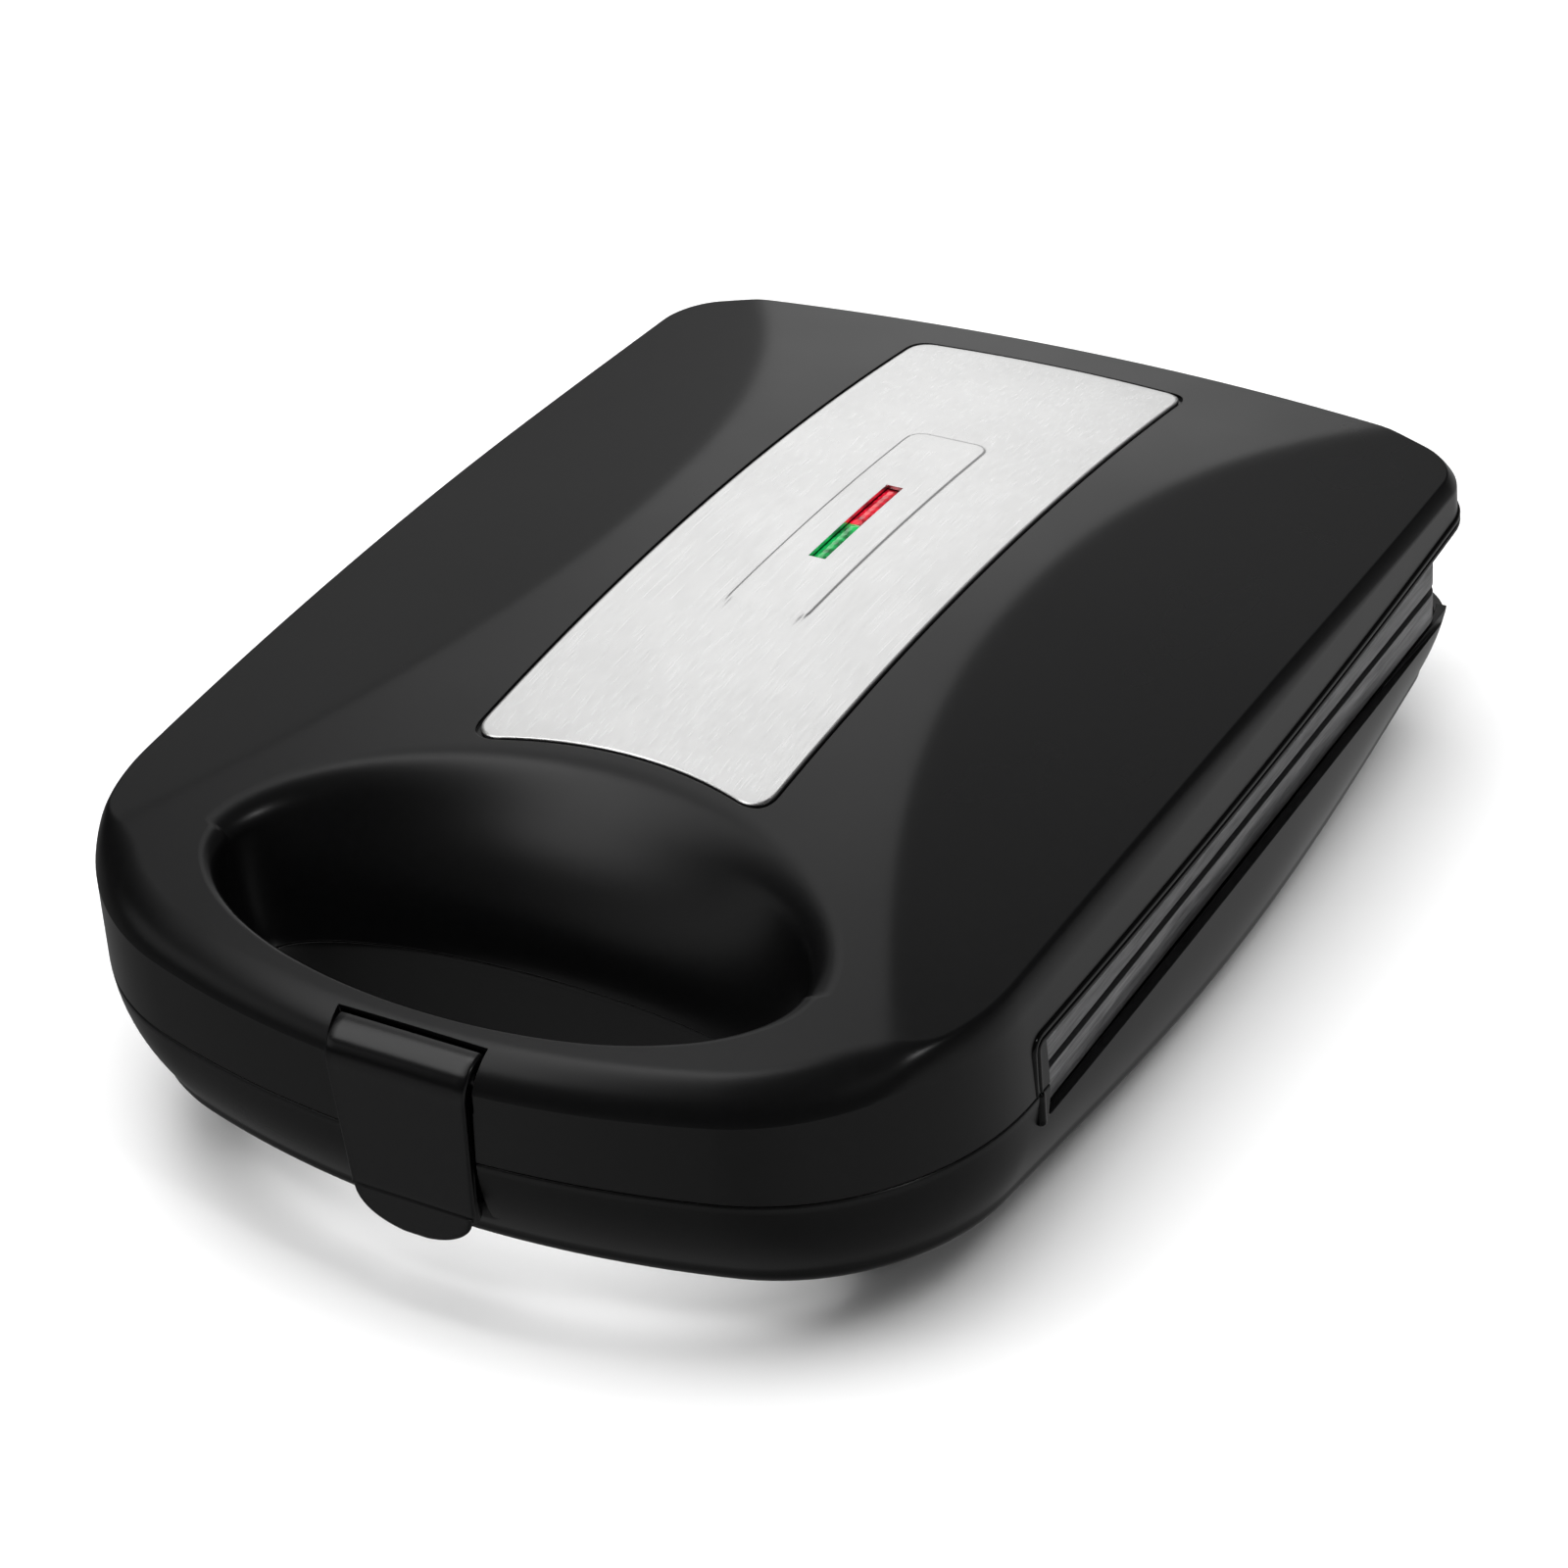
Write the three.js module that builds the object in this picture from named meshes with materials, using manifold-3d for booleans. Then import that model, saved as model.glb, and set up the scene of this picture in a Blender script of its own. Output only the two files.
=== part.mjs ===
// Electric donut maker: a clamshell with a hinged lid, a handle with a finger hole, and a front latch.
// Millimetres, +Z up, the handle towards -Y. The origin is on the table, under the middle of the body.
import * as THREE from "three";
import { mergeVertices } from "three/addons/utils/BufferGeometryUtils.js";
import Module from "manifold-3d";

const wasm = await Module();
wasm.setup();

// ---- Driving dimensions ----
const HALF_WIDTH = 125.6; // widest point of both housings, at the parting plane
const PARTING_Z = 52.3; // where lid and base meet
const GAP = 0.3; // air between pieces that rest on each other
const WALL = 2.6; // thickness of the moulded housings

// Plan outline: five arcs on each side, tangent to each other.
const FRONT = { y: -177, radius: 280 };
const SIDE = { middleY: 5, radius: 4000 };
const BACK = { y: 171.5, radius: 484 };
const FRONT_CORNER_RADIUS = 66;
const BACK_CORNER_RADIUS = 20;
const ARC_STEPS = { front: 4, frontCorner: 7, side: 5, backCorner: 5, back: 4 };

// Lid top: a shallow arch along Y, with a sloping facet at each side.
const ARCH = { topZ: 96.7, middleY: 3, drop: 15.1, halfSpan: 163 };
const CREASE = {
  waistX: 56, waistY: 24.5, frontSpan: 144.5, frontRise: 42.5, frontPower: 1.93,
  backSpan: 141.5, backRise: 47.9, backPower: 2.5,
};
const FACET_SLOPE = 0.17;
const CREASE_SOFTNESS = 3;
const LID_EDGE_RADIUS = 9;
const LID_WALL_DRAFT = 0.03;

// Base: walls that lean in towards an arched underside.
const KEEL = { lowZ: 8, middleY: 20, halfSpan: 188, rise: 13.5 };
const BASE_EDGE_RADIUS = 5.4;
const BASE_LEAN = { linear: 0.8, square: 7.2 };

// Finger hole behind the handle bar: an oval whose rear wall scoops back into the lid top.
const HOLE = { y: -129, halfWidth: 72, front: 31, rear: 19 };
const HOLE_TOP = { z: 95, wider: 8.5, front: 4.5, scoop: 32, scoopPower: 1.8 };
const HOLE_BOTTOM = { z: 20, wider: 4, front: 2, rear: 7 };

// Side openings, where the edges of the cooking plates show.
const SIDE_OPENING = { frontY: -98, x: 121.3, backY: 142.5, hingeBoxX: 94, lidZ: 67, baseZ: 43.7 };
const BULKHEAD = { frontY: -106.5, backY: -104 };
const HINGE_BOX = { halfWidth: 91.5, frontY: 145.5 };
const HANDLE_SOLID_HALF = 27;

const PLATE = {
  halfX: 121, frontY: -101, backY: 140, corner: 9, gap: 0.8, thickness: 2.4, rim: 2.2,
  upperRim: 14, lowerRim: 9.5,
};
const RING = { pitch: 76, y: 19.5, radius: 24, groove: 11.5, skin: 1.9, turns: 14, steps: 4 };
const SCREW = {
  x: RING.pitch / 2, yOffset: 21.9, bossRadius: 4.6, shankRadius: 1.9, headRadius: 3, headHeight: 2.4,
  sunk: 5, bite: 7,
};
const COLUMN_RADIUS = SCREW.bossRadius + 1.2; // hollow columns that the screws pass through
const TRAY = { halfX: 110, frontY: -72, backY: 132, offset: 22.7, sheet: 0.8, rim: 6, corner: 8 };
const HEATER = { radius: 3.2, offset: 18, halfX: 92, frontY: -34, backY: 84, tailX: 16, tailY: 128 };

const PANEL = {
  halfX: 41.2, frontY: -77.8, backY: 150.8, frontBow: 6.6, backBow: 2, corner: 7, above: 0.3, below: 0.6,
};
const PANEL_GROOVE = 0.9;
const WINDOW = { halfX: 2.4, frontY: 21.3, backY: 62.6, floorZ: 80 };

const LATCH = {
  y: -171.7, z: 72.7, radius: 6.3, boss: 4.3, topHalf: 19.6, lowHalf: 17.1, faceZ: 36, chinZ: 26, plate: 2.8,
};
const LATCH_PIN = { radius: 1.5, halfLength: 24.5 };
const NOTCH = { side: 0.9, lidY: -165.1, baseY: -171.4, ledgeY: -172.1, ledgeZ: [41.5, 46] };

const HINGE = { y: 172.3, z: PARTING_Z, radius: 5.7, pin: 2, arm: 11, knuckles: [58, 68.3, 79.7, 90] };
const FOOT = { x: 80, frontY: -72, backY: 118, padRadius: 9, padHeight: 2.2, postRadius: 11, stem: 3 };
const GLAND = { z: 34, faceY: 170, innerY: 158, body: 6, collar: 8.5, bore: 3.4 };

// ---- Materials ----
const material = (color, roughness, metalness = 0) =>
  new THREE.MeshStandardMaterial({ color, roughness, metalness });
const SATIN_BLACK = material(0x1c1c1d, 0.42);
const GLOSS_BLACK = material(0x101011, 0.18);
const STEEL = material(0xc9c9c8, 0.3, 1);
const CAST = material(0x3c3c3e, 0.5, 0.6);
const TINNED = material(0xa9abac, 0.45, 1);
const RUBBER = material(0x161616, 0.9);
const CERAMIC = material(0xe2ddd0, 0.6);
const GREEN_LENS = material(0x0a6b2c, 0.15);
const RED_LENS = material(0xa8101c, 0.15);
const LAMP_GLASS = material(0xe8d2b8, 0.1);

// ---- Solids ----
function manifoldOf(positions, indices) {
  const make = (triVerts) =>
    new wasm.Manifold(new wasm.Mesh({ numProp: 3, vertProperties: positions, triVerts }));
  const made = make(indices);
  if (made.volume() > 0) return made;
  const turned = indices.slice();
  for (let i = 0; i < turned.length; i += 3) {
    [turned[i + 1], turned[i + 2]] = [turned[i + 2], turned[i + 1]];
  }
  return make(turned);
}

function solid(geometry) {
  geometry.deleteAttribute("normal");
  geometry.deleteAttribute("uv");
  const merged = mergeVertices(geometry, 1e-4);
  return manifoldOf(merged.attributes.position.array, new Uint32Array(merged.index.array));
}

const join = (first, ...rest) => rest.reduce((a, b) => a.add(b), first);
const cut = (first, ...rest) => rest.reduce((a, b) => a.subtract(b), first);
const common = (first, ...rest) => rest.reduce((a, b) => a.intersect(b), first);

function box(x0, x1, y0, y1, z0, z1) {
  const geometry = new THREE.BoxGeometry(x1 - x0, y1 - y0, z1 - z0);
  return solid(geometry.translate((x0 + x1) / 2, (y0 + y1) / 2, (z0 + z1) / 2));
}

function cylinderZ(radius, x, y, z0, z1, sides = 14) {
  const geometry = new THREE.CylinderGeometry(radius, radius, z1 - z0, sides).rotateX(Math.PI / 2);
  return solid(geometry.translate(x, y, (z0 + z1) / 2));
}

function cylinderX(radius, x0, x1, y, z, sides = 16) {
  const geometry = new THREE.CylinderGeometry(radius, radius, x1 - x0, sides).rotateZ(Math.PI / 2);
  return solid(geometry.translate((x0 + x1) / 2, y, z));
}

function cylinderY(radius, x, y0, y1, z, sides = 14) {
  const geometry = new THREE.CylinderGeometry(radius, radius, y1 - y0, sides);
  return solid(geometry.translate(x, (y0 + y1) / 2, z));
}

const extrusion = (shape, depth, curveSegments) =>
  new THREE.ExtrudeGeometry(shape, { depth, bevelEnabled: false, curveSegments });

// A plan shape raised from z0 to z1.
function prism(shape, z0, z1, curveSegments = 6) {
  return solid(extrusion(shape, z1 - z0, curveSegments).translate(0, 0, z0));
}

// A section drawn in (y, z), run along X between -half and +half.
function prismX(shape, half, curveSegments = 8) {
  const turn = new THREE.Matrix4().makeBasis(
    new THREE.Vector3(0, 1, 0), new THREE.Vector3(0, 0, 1), new THREE.Vector3(1, 0, 0),
  );
  return solid(extrusion(shape, 2 * half, curveSegments).applyMatrix4(turn).translate(-half, 0, 0));
}

// A section drawn in (x, z), run along Y.
function prismY(shape, y0, y1, curveSegments = 8) {
  return solid(extrusion(shape, y1 - y0, curveSegments).rotateX(Math.PI / 2).translate(0, y1, 0));
}

function roundedRectangle(x0, x1, y0, y1, r) {
  const shape = new THREE.Shape();
  shape.absarc(x1 - r, y0 + r, r, -Math.PI / 2, 0);
  shape.absarc(x1 - r, y1 - r, r, 0, Math.PI / 2);
  shape.absarc(x0 + r, y1 - r, r, Math.PI / 2, Math.PI);
  shape.absarc(x0 + r, y0 + r, r, Math.PI, 1.5 * Math.PI);
  return shape;
}

// A ring-shaped body: each column is a closed loop of points, and the columns close round the ring.
function ringBody(columns) {
  const rows = columns[0].length;
  const positions = new Float32Array(columns.flat().flatMap((p) => [p.x, p.y, p.z]));
  const indices = [];
  columns.forEach((_, i) => {
    const next = (i + 1) % columns.length;
    for (let j = 0; j < rows; j++) {
      const k = (j + 1) % rows;
      const [a, b, c, d] = [i * rows + j, next * rows + j, next * rows + k, i * rows + k];
      indices.push(a, b, c, a, c, d);
    }
  });
  return manifoldOf(positions, new Uint32Array(indices));
}

// ---- The shared outline ----
// Centre of a small circle that touches two larger circles from inside.
function tangentCentre(c1, r1, c2, r2, radius, towards) {
  const a = r1 - radius;
  const b = r2 - radius;
  const line = c2.clone().sub(c1);
  const d = line.length();
  const along = (a * a - b * b + d * d) / (2 * d);
  const across = Math.sqrt(a * a - along * along);
  const unit = line.divideScalar(d);
  const side = new THREE.Vector2(-unit.y, unit.x);
  const foot = c1.clone().addScaledVector(unit, along);
  const [p, q] = [1, -1].map((s) => foot.clone().addScaledVector(side, s * across));
  return p.distanceTo(towards) < q.distanceTo(towards) ? p : q;
}

function arcPoints(centre, radius, from, to, steps) {
  return Array.from({ length: steps }, (_, i) => {
    const angle = from + ((to - from) * i) / steps;
    const normal = new THREE.Vector2(Math.cos(angle), Math.sin(angle));
    return { point: centre.clone().addScaledVector(normal, radius), normal };
  });
}

function outlinePoints() {
  const front = new THREE.Vector2(0, FRONT.y + FRONT.radius);
  const side = new THREE.Vector2(HALF_WIDTH - SIDE.radius, SIDE.middleY);
  const back = new THREE.Vector2(0, BACK.y - BACK.radius);
  const frontHint = new THREE.Vector2(HALF_WIDTH, FRONT.y);
  const backHint = new THREE.Vector2(HALF_WIDTH, BACK.y);
  const frontCorner = tangentCentre(front, FRONT.radius, side, SIDE.radius, FRONT_CORNER_RADIUS, frontHint);
  const backCorner = tangentCentre(side, SIDE.radius, back, BACK.radius, BACK_CORNER_RADIUS, backHint);
  const towards = (a, b) => Math.atan2(b.y - a.y, b.x - a.x);
  const bends = [-Math.PI / 2, towards(front, frontCorner), towards(side, frontCorner),
    towards(side, backCorner), towards(back, backCorner), Math.PI / 2];
  const half = [
    ...arcPoints(front, FRONT.radius, bends[0], bends[1], ARC_STEPS.front),
    ...arcPoints(frontCorner, FRONT_CORNER_RADIUS, bends[1], bends[2], ARC_STEPS.frontCorner),
    ...arcPoints(side, SIDE.radius, bends[2], bends[3], ARC_STEPS.side),
    ...arcPoints(backCorner, BACK_CORNER_RADIUS, bends[3], bends[4], ARC_STEPS.backCorner),
    ...arcPoints(back, BACK.radius, bends[4], bends[5], ARC_STEPS.back),
  ];
  const rearMiddle = { point: new THREE.Vector2(0, BACK.y), normal: new THREE.Vector2(0, 1) };
  const mirrored = half.slice(1).reverse().map(({ point, normal }) => ({
    point: new THREE.Vector2(-point.x, point.y),
    normal: new THREE.Vector2(-normal.x, normal.y),
  }));
  return [...half, rearMiddle, ...mirrored];
}

const OUTLINE = outlinePoints();

// ---- Surface heights ----
const archZ = (y) => ARCH.topZ - ARCH.drop * ((y - ARCH.middleY) / ARCH.halfSpan) ** 2;

function creaseX(y) {
  const from = y - CREASE.waistY;
  if (from > 0) return CREASE.waistX + CREASE.backRise * (from / CREASE.backSpan) ** CREASE.backPower;
  return CREASE.waistX + CREASE.frontRise * (-from / CREASE.frontSpan) ** CREASE.frontPower;
}

function lidTopZ(x, y) {
  const past = (Math.abs(x) - creaseX(y)) / CREASE_SOFTNESS;
  const rounded = past > 30 ? past : Math.log1p(Math.exp(past));
  return archZ(y) - FACET_SLOPE * CREASE_SOFTNESS * rounded;
}

const keelRise = (y) => KEEL.rise * Math.sin((Math.PI / 2) * ((y - KEEL.middleY) / KEEL.halfSpan)) ** 2;
const keelZ = (y) => KEEL.lowZ + keelRise(y);

// Half-axes of the finger hole at a height.
function holeAt(z) {
  const up = Math.max(0, (z - PARTING_Z) / (HOLE_TOP.z - PARTING_Z));
  const down = Math.max(0, (PARTING_Z - z) / (PARTING_Z - HOLE_BOTTOM.z));
  return {
    halfWidth: HOLE.halfWidth + HOLE_TOP.wider * Math.sqrt(up) + HOLE_BOTTOM.wider * down,
    front: HOLE.front + HOLE_TOP.front * up + HOLE_BOTTOM.front * down,
    rear: HOLE.rear + HOLE_TOP.scoop * up ** HOLE_TOP.scoopPower + HOLE_BOTTOM.rear * down,
  };
}

// The point of the hole's wall at height z, in a direction, with the wall moved out by extra.
function holePoint(direction, z, extra) {
  const hole = holeAt(z);
  const reach = direction.y < 0 ? hole.front : hole.rear;
  const slant = direction.y > 0 && z > PARTING_Z ? SCOOP_SLANT : 1;
  const a = direction.x / (hole.halfWidth + extra);
  const b = direction.y / (reach + extra * slant);
  const distance = 1 / Math.hypot(a, b);
  return new THREE.Vector3(direction.x * distance, HOLE.y + direction.y * distance, z);
}

const inset = ({ point, normal }, distance) => point.clone().addScaledVector(normal, -distance);

// How finely the outer and inner skins are stepped: down the hole's wall, across the top, round the edge.
const OUTER_STEPS = {
  hole: [0, 0.25, 0.5, 0.75, 0.92], across: [0.03, 0.3, 0.55, 0.8, 1], edge: [0.4, 0.8, 1.2, Math.PI / 2],
};
const INNER_STEPS = { hole: [0, 0.3, 0.6, 0.85, 1], across: [0.33, 0.67, 1], edge: [0.8, Math.PI / 2] };
const SCOOP_SLANT = 1.45; // the scoop's wall leans, so its inner skin lies further back than its thickness
const RIM_ROUNDS = 12; // rounds of substitution that find where the hole's wall meets the top

// One loop of the lid, from the hole's foot over the top and down the wall. Thin is the offset inwards.
function lidColumn(edge, thin, footZ) {
  const steps = thin > 0 ? INNER_STEPS : OUTER_STEPS;
  const direction = edge.point.clone().sub(new THREE.Vector2(0, HOLE.y)).normalize();
  const top = (x, y) => lidTopZ(x, y) - thin;
  let rimZ = PARTING_Z;
  for (let i = 0; i < RIM_ROUNDS; i++) {
    const p = holePoint(direction, rimZ, thin);
    rimZ = top(p.x, p.y);
  }
  const points = steps.hole.map((t) => holePoint(direction, footZ + (rimZ - footZ) * t, thin));
  const radius = LID_EDGE_RADIUS - thin;
  const wallInset = (z) => thin + LID_WALL_DRAFT * (z - PARTING_Z);
  const rim = holePoint(direction, rimZ, thin);
  const shoulder = inset(edge, wallInset(rimZ) + radius);
  for (const t of steps.across) {
    const x = rim.x + (shoulder.x - rim.x) * t;
    const y = rim.y + (shoulder.y - rim.y) * t;
    points.push(new THREE.Vector3(x, y, top(x, y)));
  }
  const shoulderZ = points.at(-1).z;
  for (const angle of steps.edge) {
    const p = inset(edge, wallInset(shoulderZ) + radius * (1 - Math.sin(angle)));
    points.push(new THREE.Vector3(p.x, p.y, shoulderZ - radius * (1 - Math.cos(angle))));
  }
  const foot = inset(edge, wallInset(footZ));
  points.push(new THREE.Vector3(foot.x, foot.y, footZ));
  return points;
}

function baseWallInset(edge, z, thin) {
  const edgeZ = keelZ(edge.point.y) + BASE_EDGE_RADIUS;
  const depth = Math.max(0, (PARTING_Z - z) / (PARTING_Z - edgeZ));
  return thin + BASE_LEAN.linear * depth + BASE_LEAN.square * depth * depth;
}

// One loop of the base, from the hole's head down, under the floor and up the wall.
function baseColumn(edge, thin, headZ) {
  const direction = edge.point.clone().sub(new THREE.Vector2(0, HOLE.y)).normalize();
  const floor = (y) => keelZ(y) + thin;
  let rimZ = PARTING_Z;
  for (let i = 0; i < RIM_ROUNDS; i++) rimZ = floor(holePoint(direction, rimZ, thin).y);
  const points = [0, 0.5, 1].map((t) => holePoint(direction, headZ + (rimZ - headZ) * t, thin));
  const rim = points.at(-1);
  const radius = BASE_EDGE_RADIUS - thin;
  const edgeZ = keelZ(edge.point.y) + BASE_EDGE_RADIUS;
  const shoulder = inset(edge, baseWallInset(edge, edgeZ, thin) + radius);
  for (const t of [0.33, 0.67, 1]) {
    const x = rim.x + (shoulder.x - rim.x) * t;
    const y = rim.y + (shoulder.y - rim.y) * t;
    points.push(new THREE.Vector3(x, y, floor(y)));
  }
  const shoulderZ = points.at(-1).z;
  for (const angle of INNER_STEPS.edge) {
    const p = inset(edge, baseWallInset(edge, edgeZ, thin) + radius * (1 - Math.sin(angle)));
    points.push(new THREE.Vector3(p.x, p.y, shoulderZ + radius * (1 - Math.cos(angle))));
  }
  const topOfCurve = points.at(-1).z;
  for (const t of [0.5, 1]) {
    const z = topOfCurve + (headZ - topOfCurve) * t;
    const p = inset(edge, baseWallInset(edge, z, thin));
    points.push(new THREE.Vector3(p.x, p.y, z));
  }
  return points;
}

// ---- Cuts that both housings share ----
const FAR = 200;

// The zones between z0 and z1 where the housings are hollow: handle, plate bay and hinge box.
function hollowZones(z0, z1) {
  return join(
    box(HANDLE_SOLID_HALF, FAR, -FAR, BULKHEAD.frontY, z0, z1),
    box(-FAR, -HANDLE_SOLID_HALF, -FAR, BULKHEAD.frontY, z0, z1),
    box(-FAR, FAR, BULKHEAD.backY, SIDE_OPENING.backY, z0, z1),
    box(-HINGE_BOX.halfWidth, HINGE_BOX.halfWidth, HINGE_BOX.frontY, FAR, z0, z1),
  );
}

// The side opening in plan, from the front post round the rear corner to the hinge box.
function sideOpening(z0, z1) {
  const s = SIDE_OPENING;
  const corners = [
    [s.x, s.frontY], [FAR, s.frontY], [FAR, FAR], [s.hingeBoxX, FAR], [s.hingeBoxX, s.backY], [s.x, s.backY],
  ];
  const opening = (sign) => {
    const plan = new THREE.Shape(corners.map(([x, y]) => new THREE.Vector2(sign * x, y)));
    return prism(plan, z0, z1);
  };
  return join(opening(1), opening(-1));
}

// The bay that the edges of the two cooking plates reach into.
const plateBay = () => box(
  -SIDE_OPENING.x, SIDE_OPENING.x, BULKHEAD.backY, SIDE_OPENING.backY,
  PARTING_Z - PLATE.lowerRim - 1, PARTING_Z + PLATE.upperRim + 1,
);

const knuckleRanges = {
  base: [[HINGE.knuckles[0], HINGE.knuckles[1] - GAP], [HINGE.knuckles[2] + GAP, HINGE.knuckles[3]]],
  lid: [[HINGE.knuckles[1], HINGE.knuckles[2]]],
};
const bothSides = (ranges) => ranges.flatMap(([a, b]) => [[a, b], [-b, -a]]);

function knuckles(ranges, z0, z1) {
  const made = bothSides(ranges).map(([a, b]) => join(
    cylinderX(HINGE.radius, a, b, HINGE.y, HINGE.z),
    box(a, b, HINGE.y - HINGE.arm, HINGE.y, z0, z1),
  ));
  return join(...made);
}

const hingeCylinders = (radius, ranges) =>
  join(...bothSides(ranges).map(([a, b]) => cylinderX(radius, a, b, HINGE.y, HINGE.z)));
const knuckleClearance = (ranges) =>
  hingeCylinders(HINGE.radius + 0.5, ranges.map(([a, b]) => [a - GAP, b + GAP]));
const hingeBores = () =>
  hingeCylinders(HINGE.pin + GAP, [[HINGE.knuckles[0] - 5, HINGE.knuckles[3] + 5]]);

const screwPlaces = () =>
  [-1, 1].flatMap((sx) => [-1, 1].map((sy) => [sx * SCREW.x, RING.y + sy * SCREW.yOffset]));
const footPlaces = () =>
  [-1, 1].flatMap((sx) => [FOOT.frontY, FOOT.backY].map((y) => [sx * FOOT.x, y]));

// ---- Lid ----
// The slice of space that follows the lid's arch between two offsets from it.
function archSlice(below, above) {
  const shape = new THREE.Shape();
  const steps = 24;
  const ys = Array.from({ length: steps + 1 }, (_, i) => -100 + (270 * i) / steps);
  shape.moveTo(ys[0], archZ(ys[0]) + below);
  ys.forEach((y) => shape.lineTo(y, archZ(y) + above));
  ys.reverse().slice(0, -1).forEach((y) => shape.lineTo(y, archZ(y) + below));
  return prismX(shape, 60);
}

// Plan of the trim panel: straight sides, an inward bow at the front and an outward one at the back.
function panelPlan(grow) {
  const x = PANEL.halfX + grow;
  const [y0, y1] = [PANEL.frontY - grow, PANEL.backY + grow];
  const r = PANEL.corner;
  const shape = new THREE.Shape();
  shape.moveTo(-x, y0 + r);
  shape.quadraticCurveTo(-x, y0, -x + r, y0 + 1);
  shape.quadraticCurveTo(0, y0 + 2 * PANEL.frontBow, x - r, y0 + 1);
  shape.quadraticCurveTo(x, y0, x, y0 + r);
  shape.lineTo(x, y1 - r);
  shape.quadraticCurveTo(x, y1, x - r, y1);
  shape.quadraticCurveTo(0, y1 + 2 * PANEL.backBow, -x + r, y1);
  shape.quadraticCurveTo(-x, y1, -x, y1 - r);
  return shape;
}

// The latch's tapering sides in (x, z), grown by the gap beside it and carried past both ends.
function latchNotch(y) {
  const taper = (LATCH.topHalf - LATCH.lowHalf) / (LATCH.z + LATCH.radius + 1 - LATCH.faceZ);
  const halfAt = (z) => LATCH.lowHalf + NOTCH.side + taper * (z - LATCH.faceZ);
  const shape = new THREE.Shape();
  shape.moveTo(halfAt(0), 0);
  shape.lineTo(halfAt(110), 110);
  shape.lineTo(-halfAt(110), 110);
  shape.lineTo(-halfAt(0), 0);
  return prismY(shape, -FAR, y);
}

// The lamp window's slot, down through the top of the lid.
const windowSlot = (grow) => box(
  -WINDOW.halfX - grow, WINDOW.halfX + grow, WINDOW.frontY - grow, WINDOW.backY + grow, WINDOW.floorZ, FAR,
);

function lidHousing() {
  const outer = ringBody(OUTLINE.map((edge) => lidColumn(edge, 0, PARTING_Z + GAP / 2)));
  const inner = ringBody(OUTLINE.map((edge) => lidColumn(edge, WALL, PARTING_Z - 5)));
  const columnFoot = PARTING_Z + TRAY.offset + TRAY.sheet + GAP;
  const columns = screwPlaces().map(([x, y]) => cylinderZ(COLUMN_RADIUS, x, y, columnFoot, ARCH.topZ - WALL));
  const counterbores = screwPlaces().flatMap(([x, y]) => [
    cylinderZ(SCREW.headRadius + GAP, x, y, archZ(y) - SCREW.sunk, FAR),
    cylinderZ(SCREW.shankRadius + GAP, x, y, PARTING_Z, FAR),
  ]);
  const recess = common(prism(panelPlan(PANEL_GROOVE), 60, 110), archSlice(-PANEL.below - GAP, 6));
  const window = windowSlot(GAP);
  const pinHalf = LATCH_PIN.halfLength + GAP;
  const pinBore = cylinderX(LATCH_PIN.radius + GAP, -pinHalf, pinHalf, LATCH.y, LATCH.z);
  let lid = cut(outer, common(inner, hollowZones(PARTING_Z - 10, 110)));
  lid = cut(lid, plateBay(), sideOpening(PARTING_Z - 10, SIDE_OPENING.lidZ));
  lid = cut(lid, knuckleClearance(knuckleRanges.base));
  lid = join(lid, ...columns, knuckles(knuckleRanges.lid, PARTING_Z + GAP / 2, PARTING_Z + HINGE.radius));
  return cut(lid, hingeBores(), recess, window, ...counterbores, latchNotch(NOTCH.lidY), pinBore);
}

function trimPanel() {
  return cut(common(prism(panelPlan(0), 60, 110), archSlice(-PANEL.below, PANEL.above)), windowSlot(0));
}

function lens(y0, y1) {
  return common(box(-WINDOW.halfX + GAP, WINDOW.halfX - GAP, y0, y1, 80, 100), archSlice(-5, -0.3));
}

function lampHolder() {
  const [y0, y1] = [WINDOW.frontY - 3, WINDOW.backY + 3];
  const middle = (y0 + y1) / 2;
  return cut(
    box(-7, 7, y0, y1, 81.5, 89.3),
    box(-5.4, 5.4, y0 + 1.6, middle - 0.8, 83, 95),
    box(-5.4, 5.4, middle + 0.8, y1 - 1.6, 83, 95),
  );
}

const neonLamp = (y) =>
  join(cylinderY(2.6, 0, y - 7, y + 5, 86, 12), cylinderY(1.2, 0, y + 5, y + 8, 86, 12));

// ---- Cooking plates, made for the lid and mirrored for the base ----
function ringCentres() {
  const rowStep = RING.pitch * Math.sin(Math.PI / 3);
  const rows = [[-1, [-0.5, 0.5]], [0, [-1, 0, 1]], [1, [-0.5, 0.5]]];
  return rows.flatMap(([row, places]) => places.map((p) => [p * RING.pitch, RING.y + row * rowStep]));
}

// Half of a torus about a vertical axis, standing on z and reaching up by its tube radius.
function halfRing(tube, x, y, z, sink) {
  const profile = [-tube, tube].map((side) => new THREE.Vector2(RING.radius + side, -sink));
  for (let i = 0; i <= RING.steps; i++) {
    const angle = (Math.PI * i) / RING.steps;
    profile.push(new THREE.Vector2(RING.radius + tube * Math.cos(angle), tube * Math.sin(angle)));
  }
  profile.push(profile[0].clone());
  const geometry = new THREE.LatheGeometry(profile, RING.turns).rotateX(Math.PI / 2);
  return solid(geometry.translate(x, y, z));
}

const plateOutline = (trim) => roundedRectangle(
  -PLATE.halfX + trim, PLATE.halfX - trim, PLATE.frontY + trim, PLATE.backY - trim, PLATE.corner - trim,
);

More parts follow.
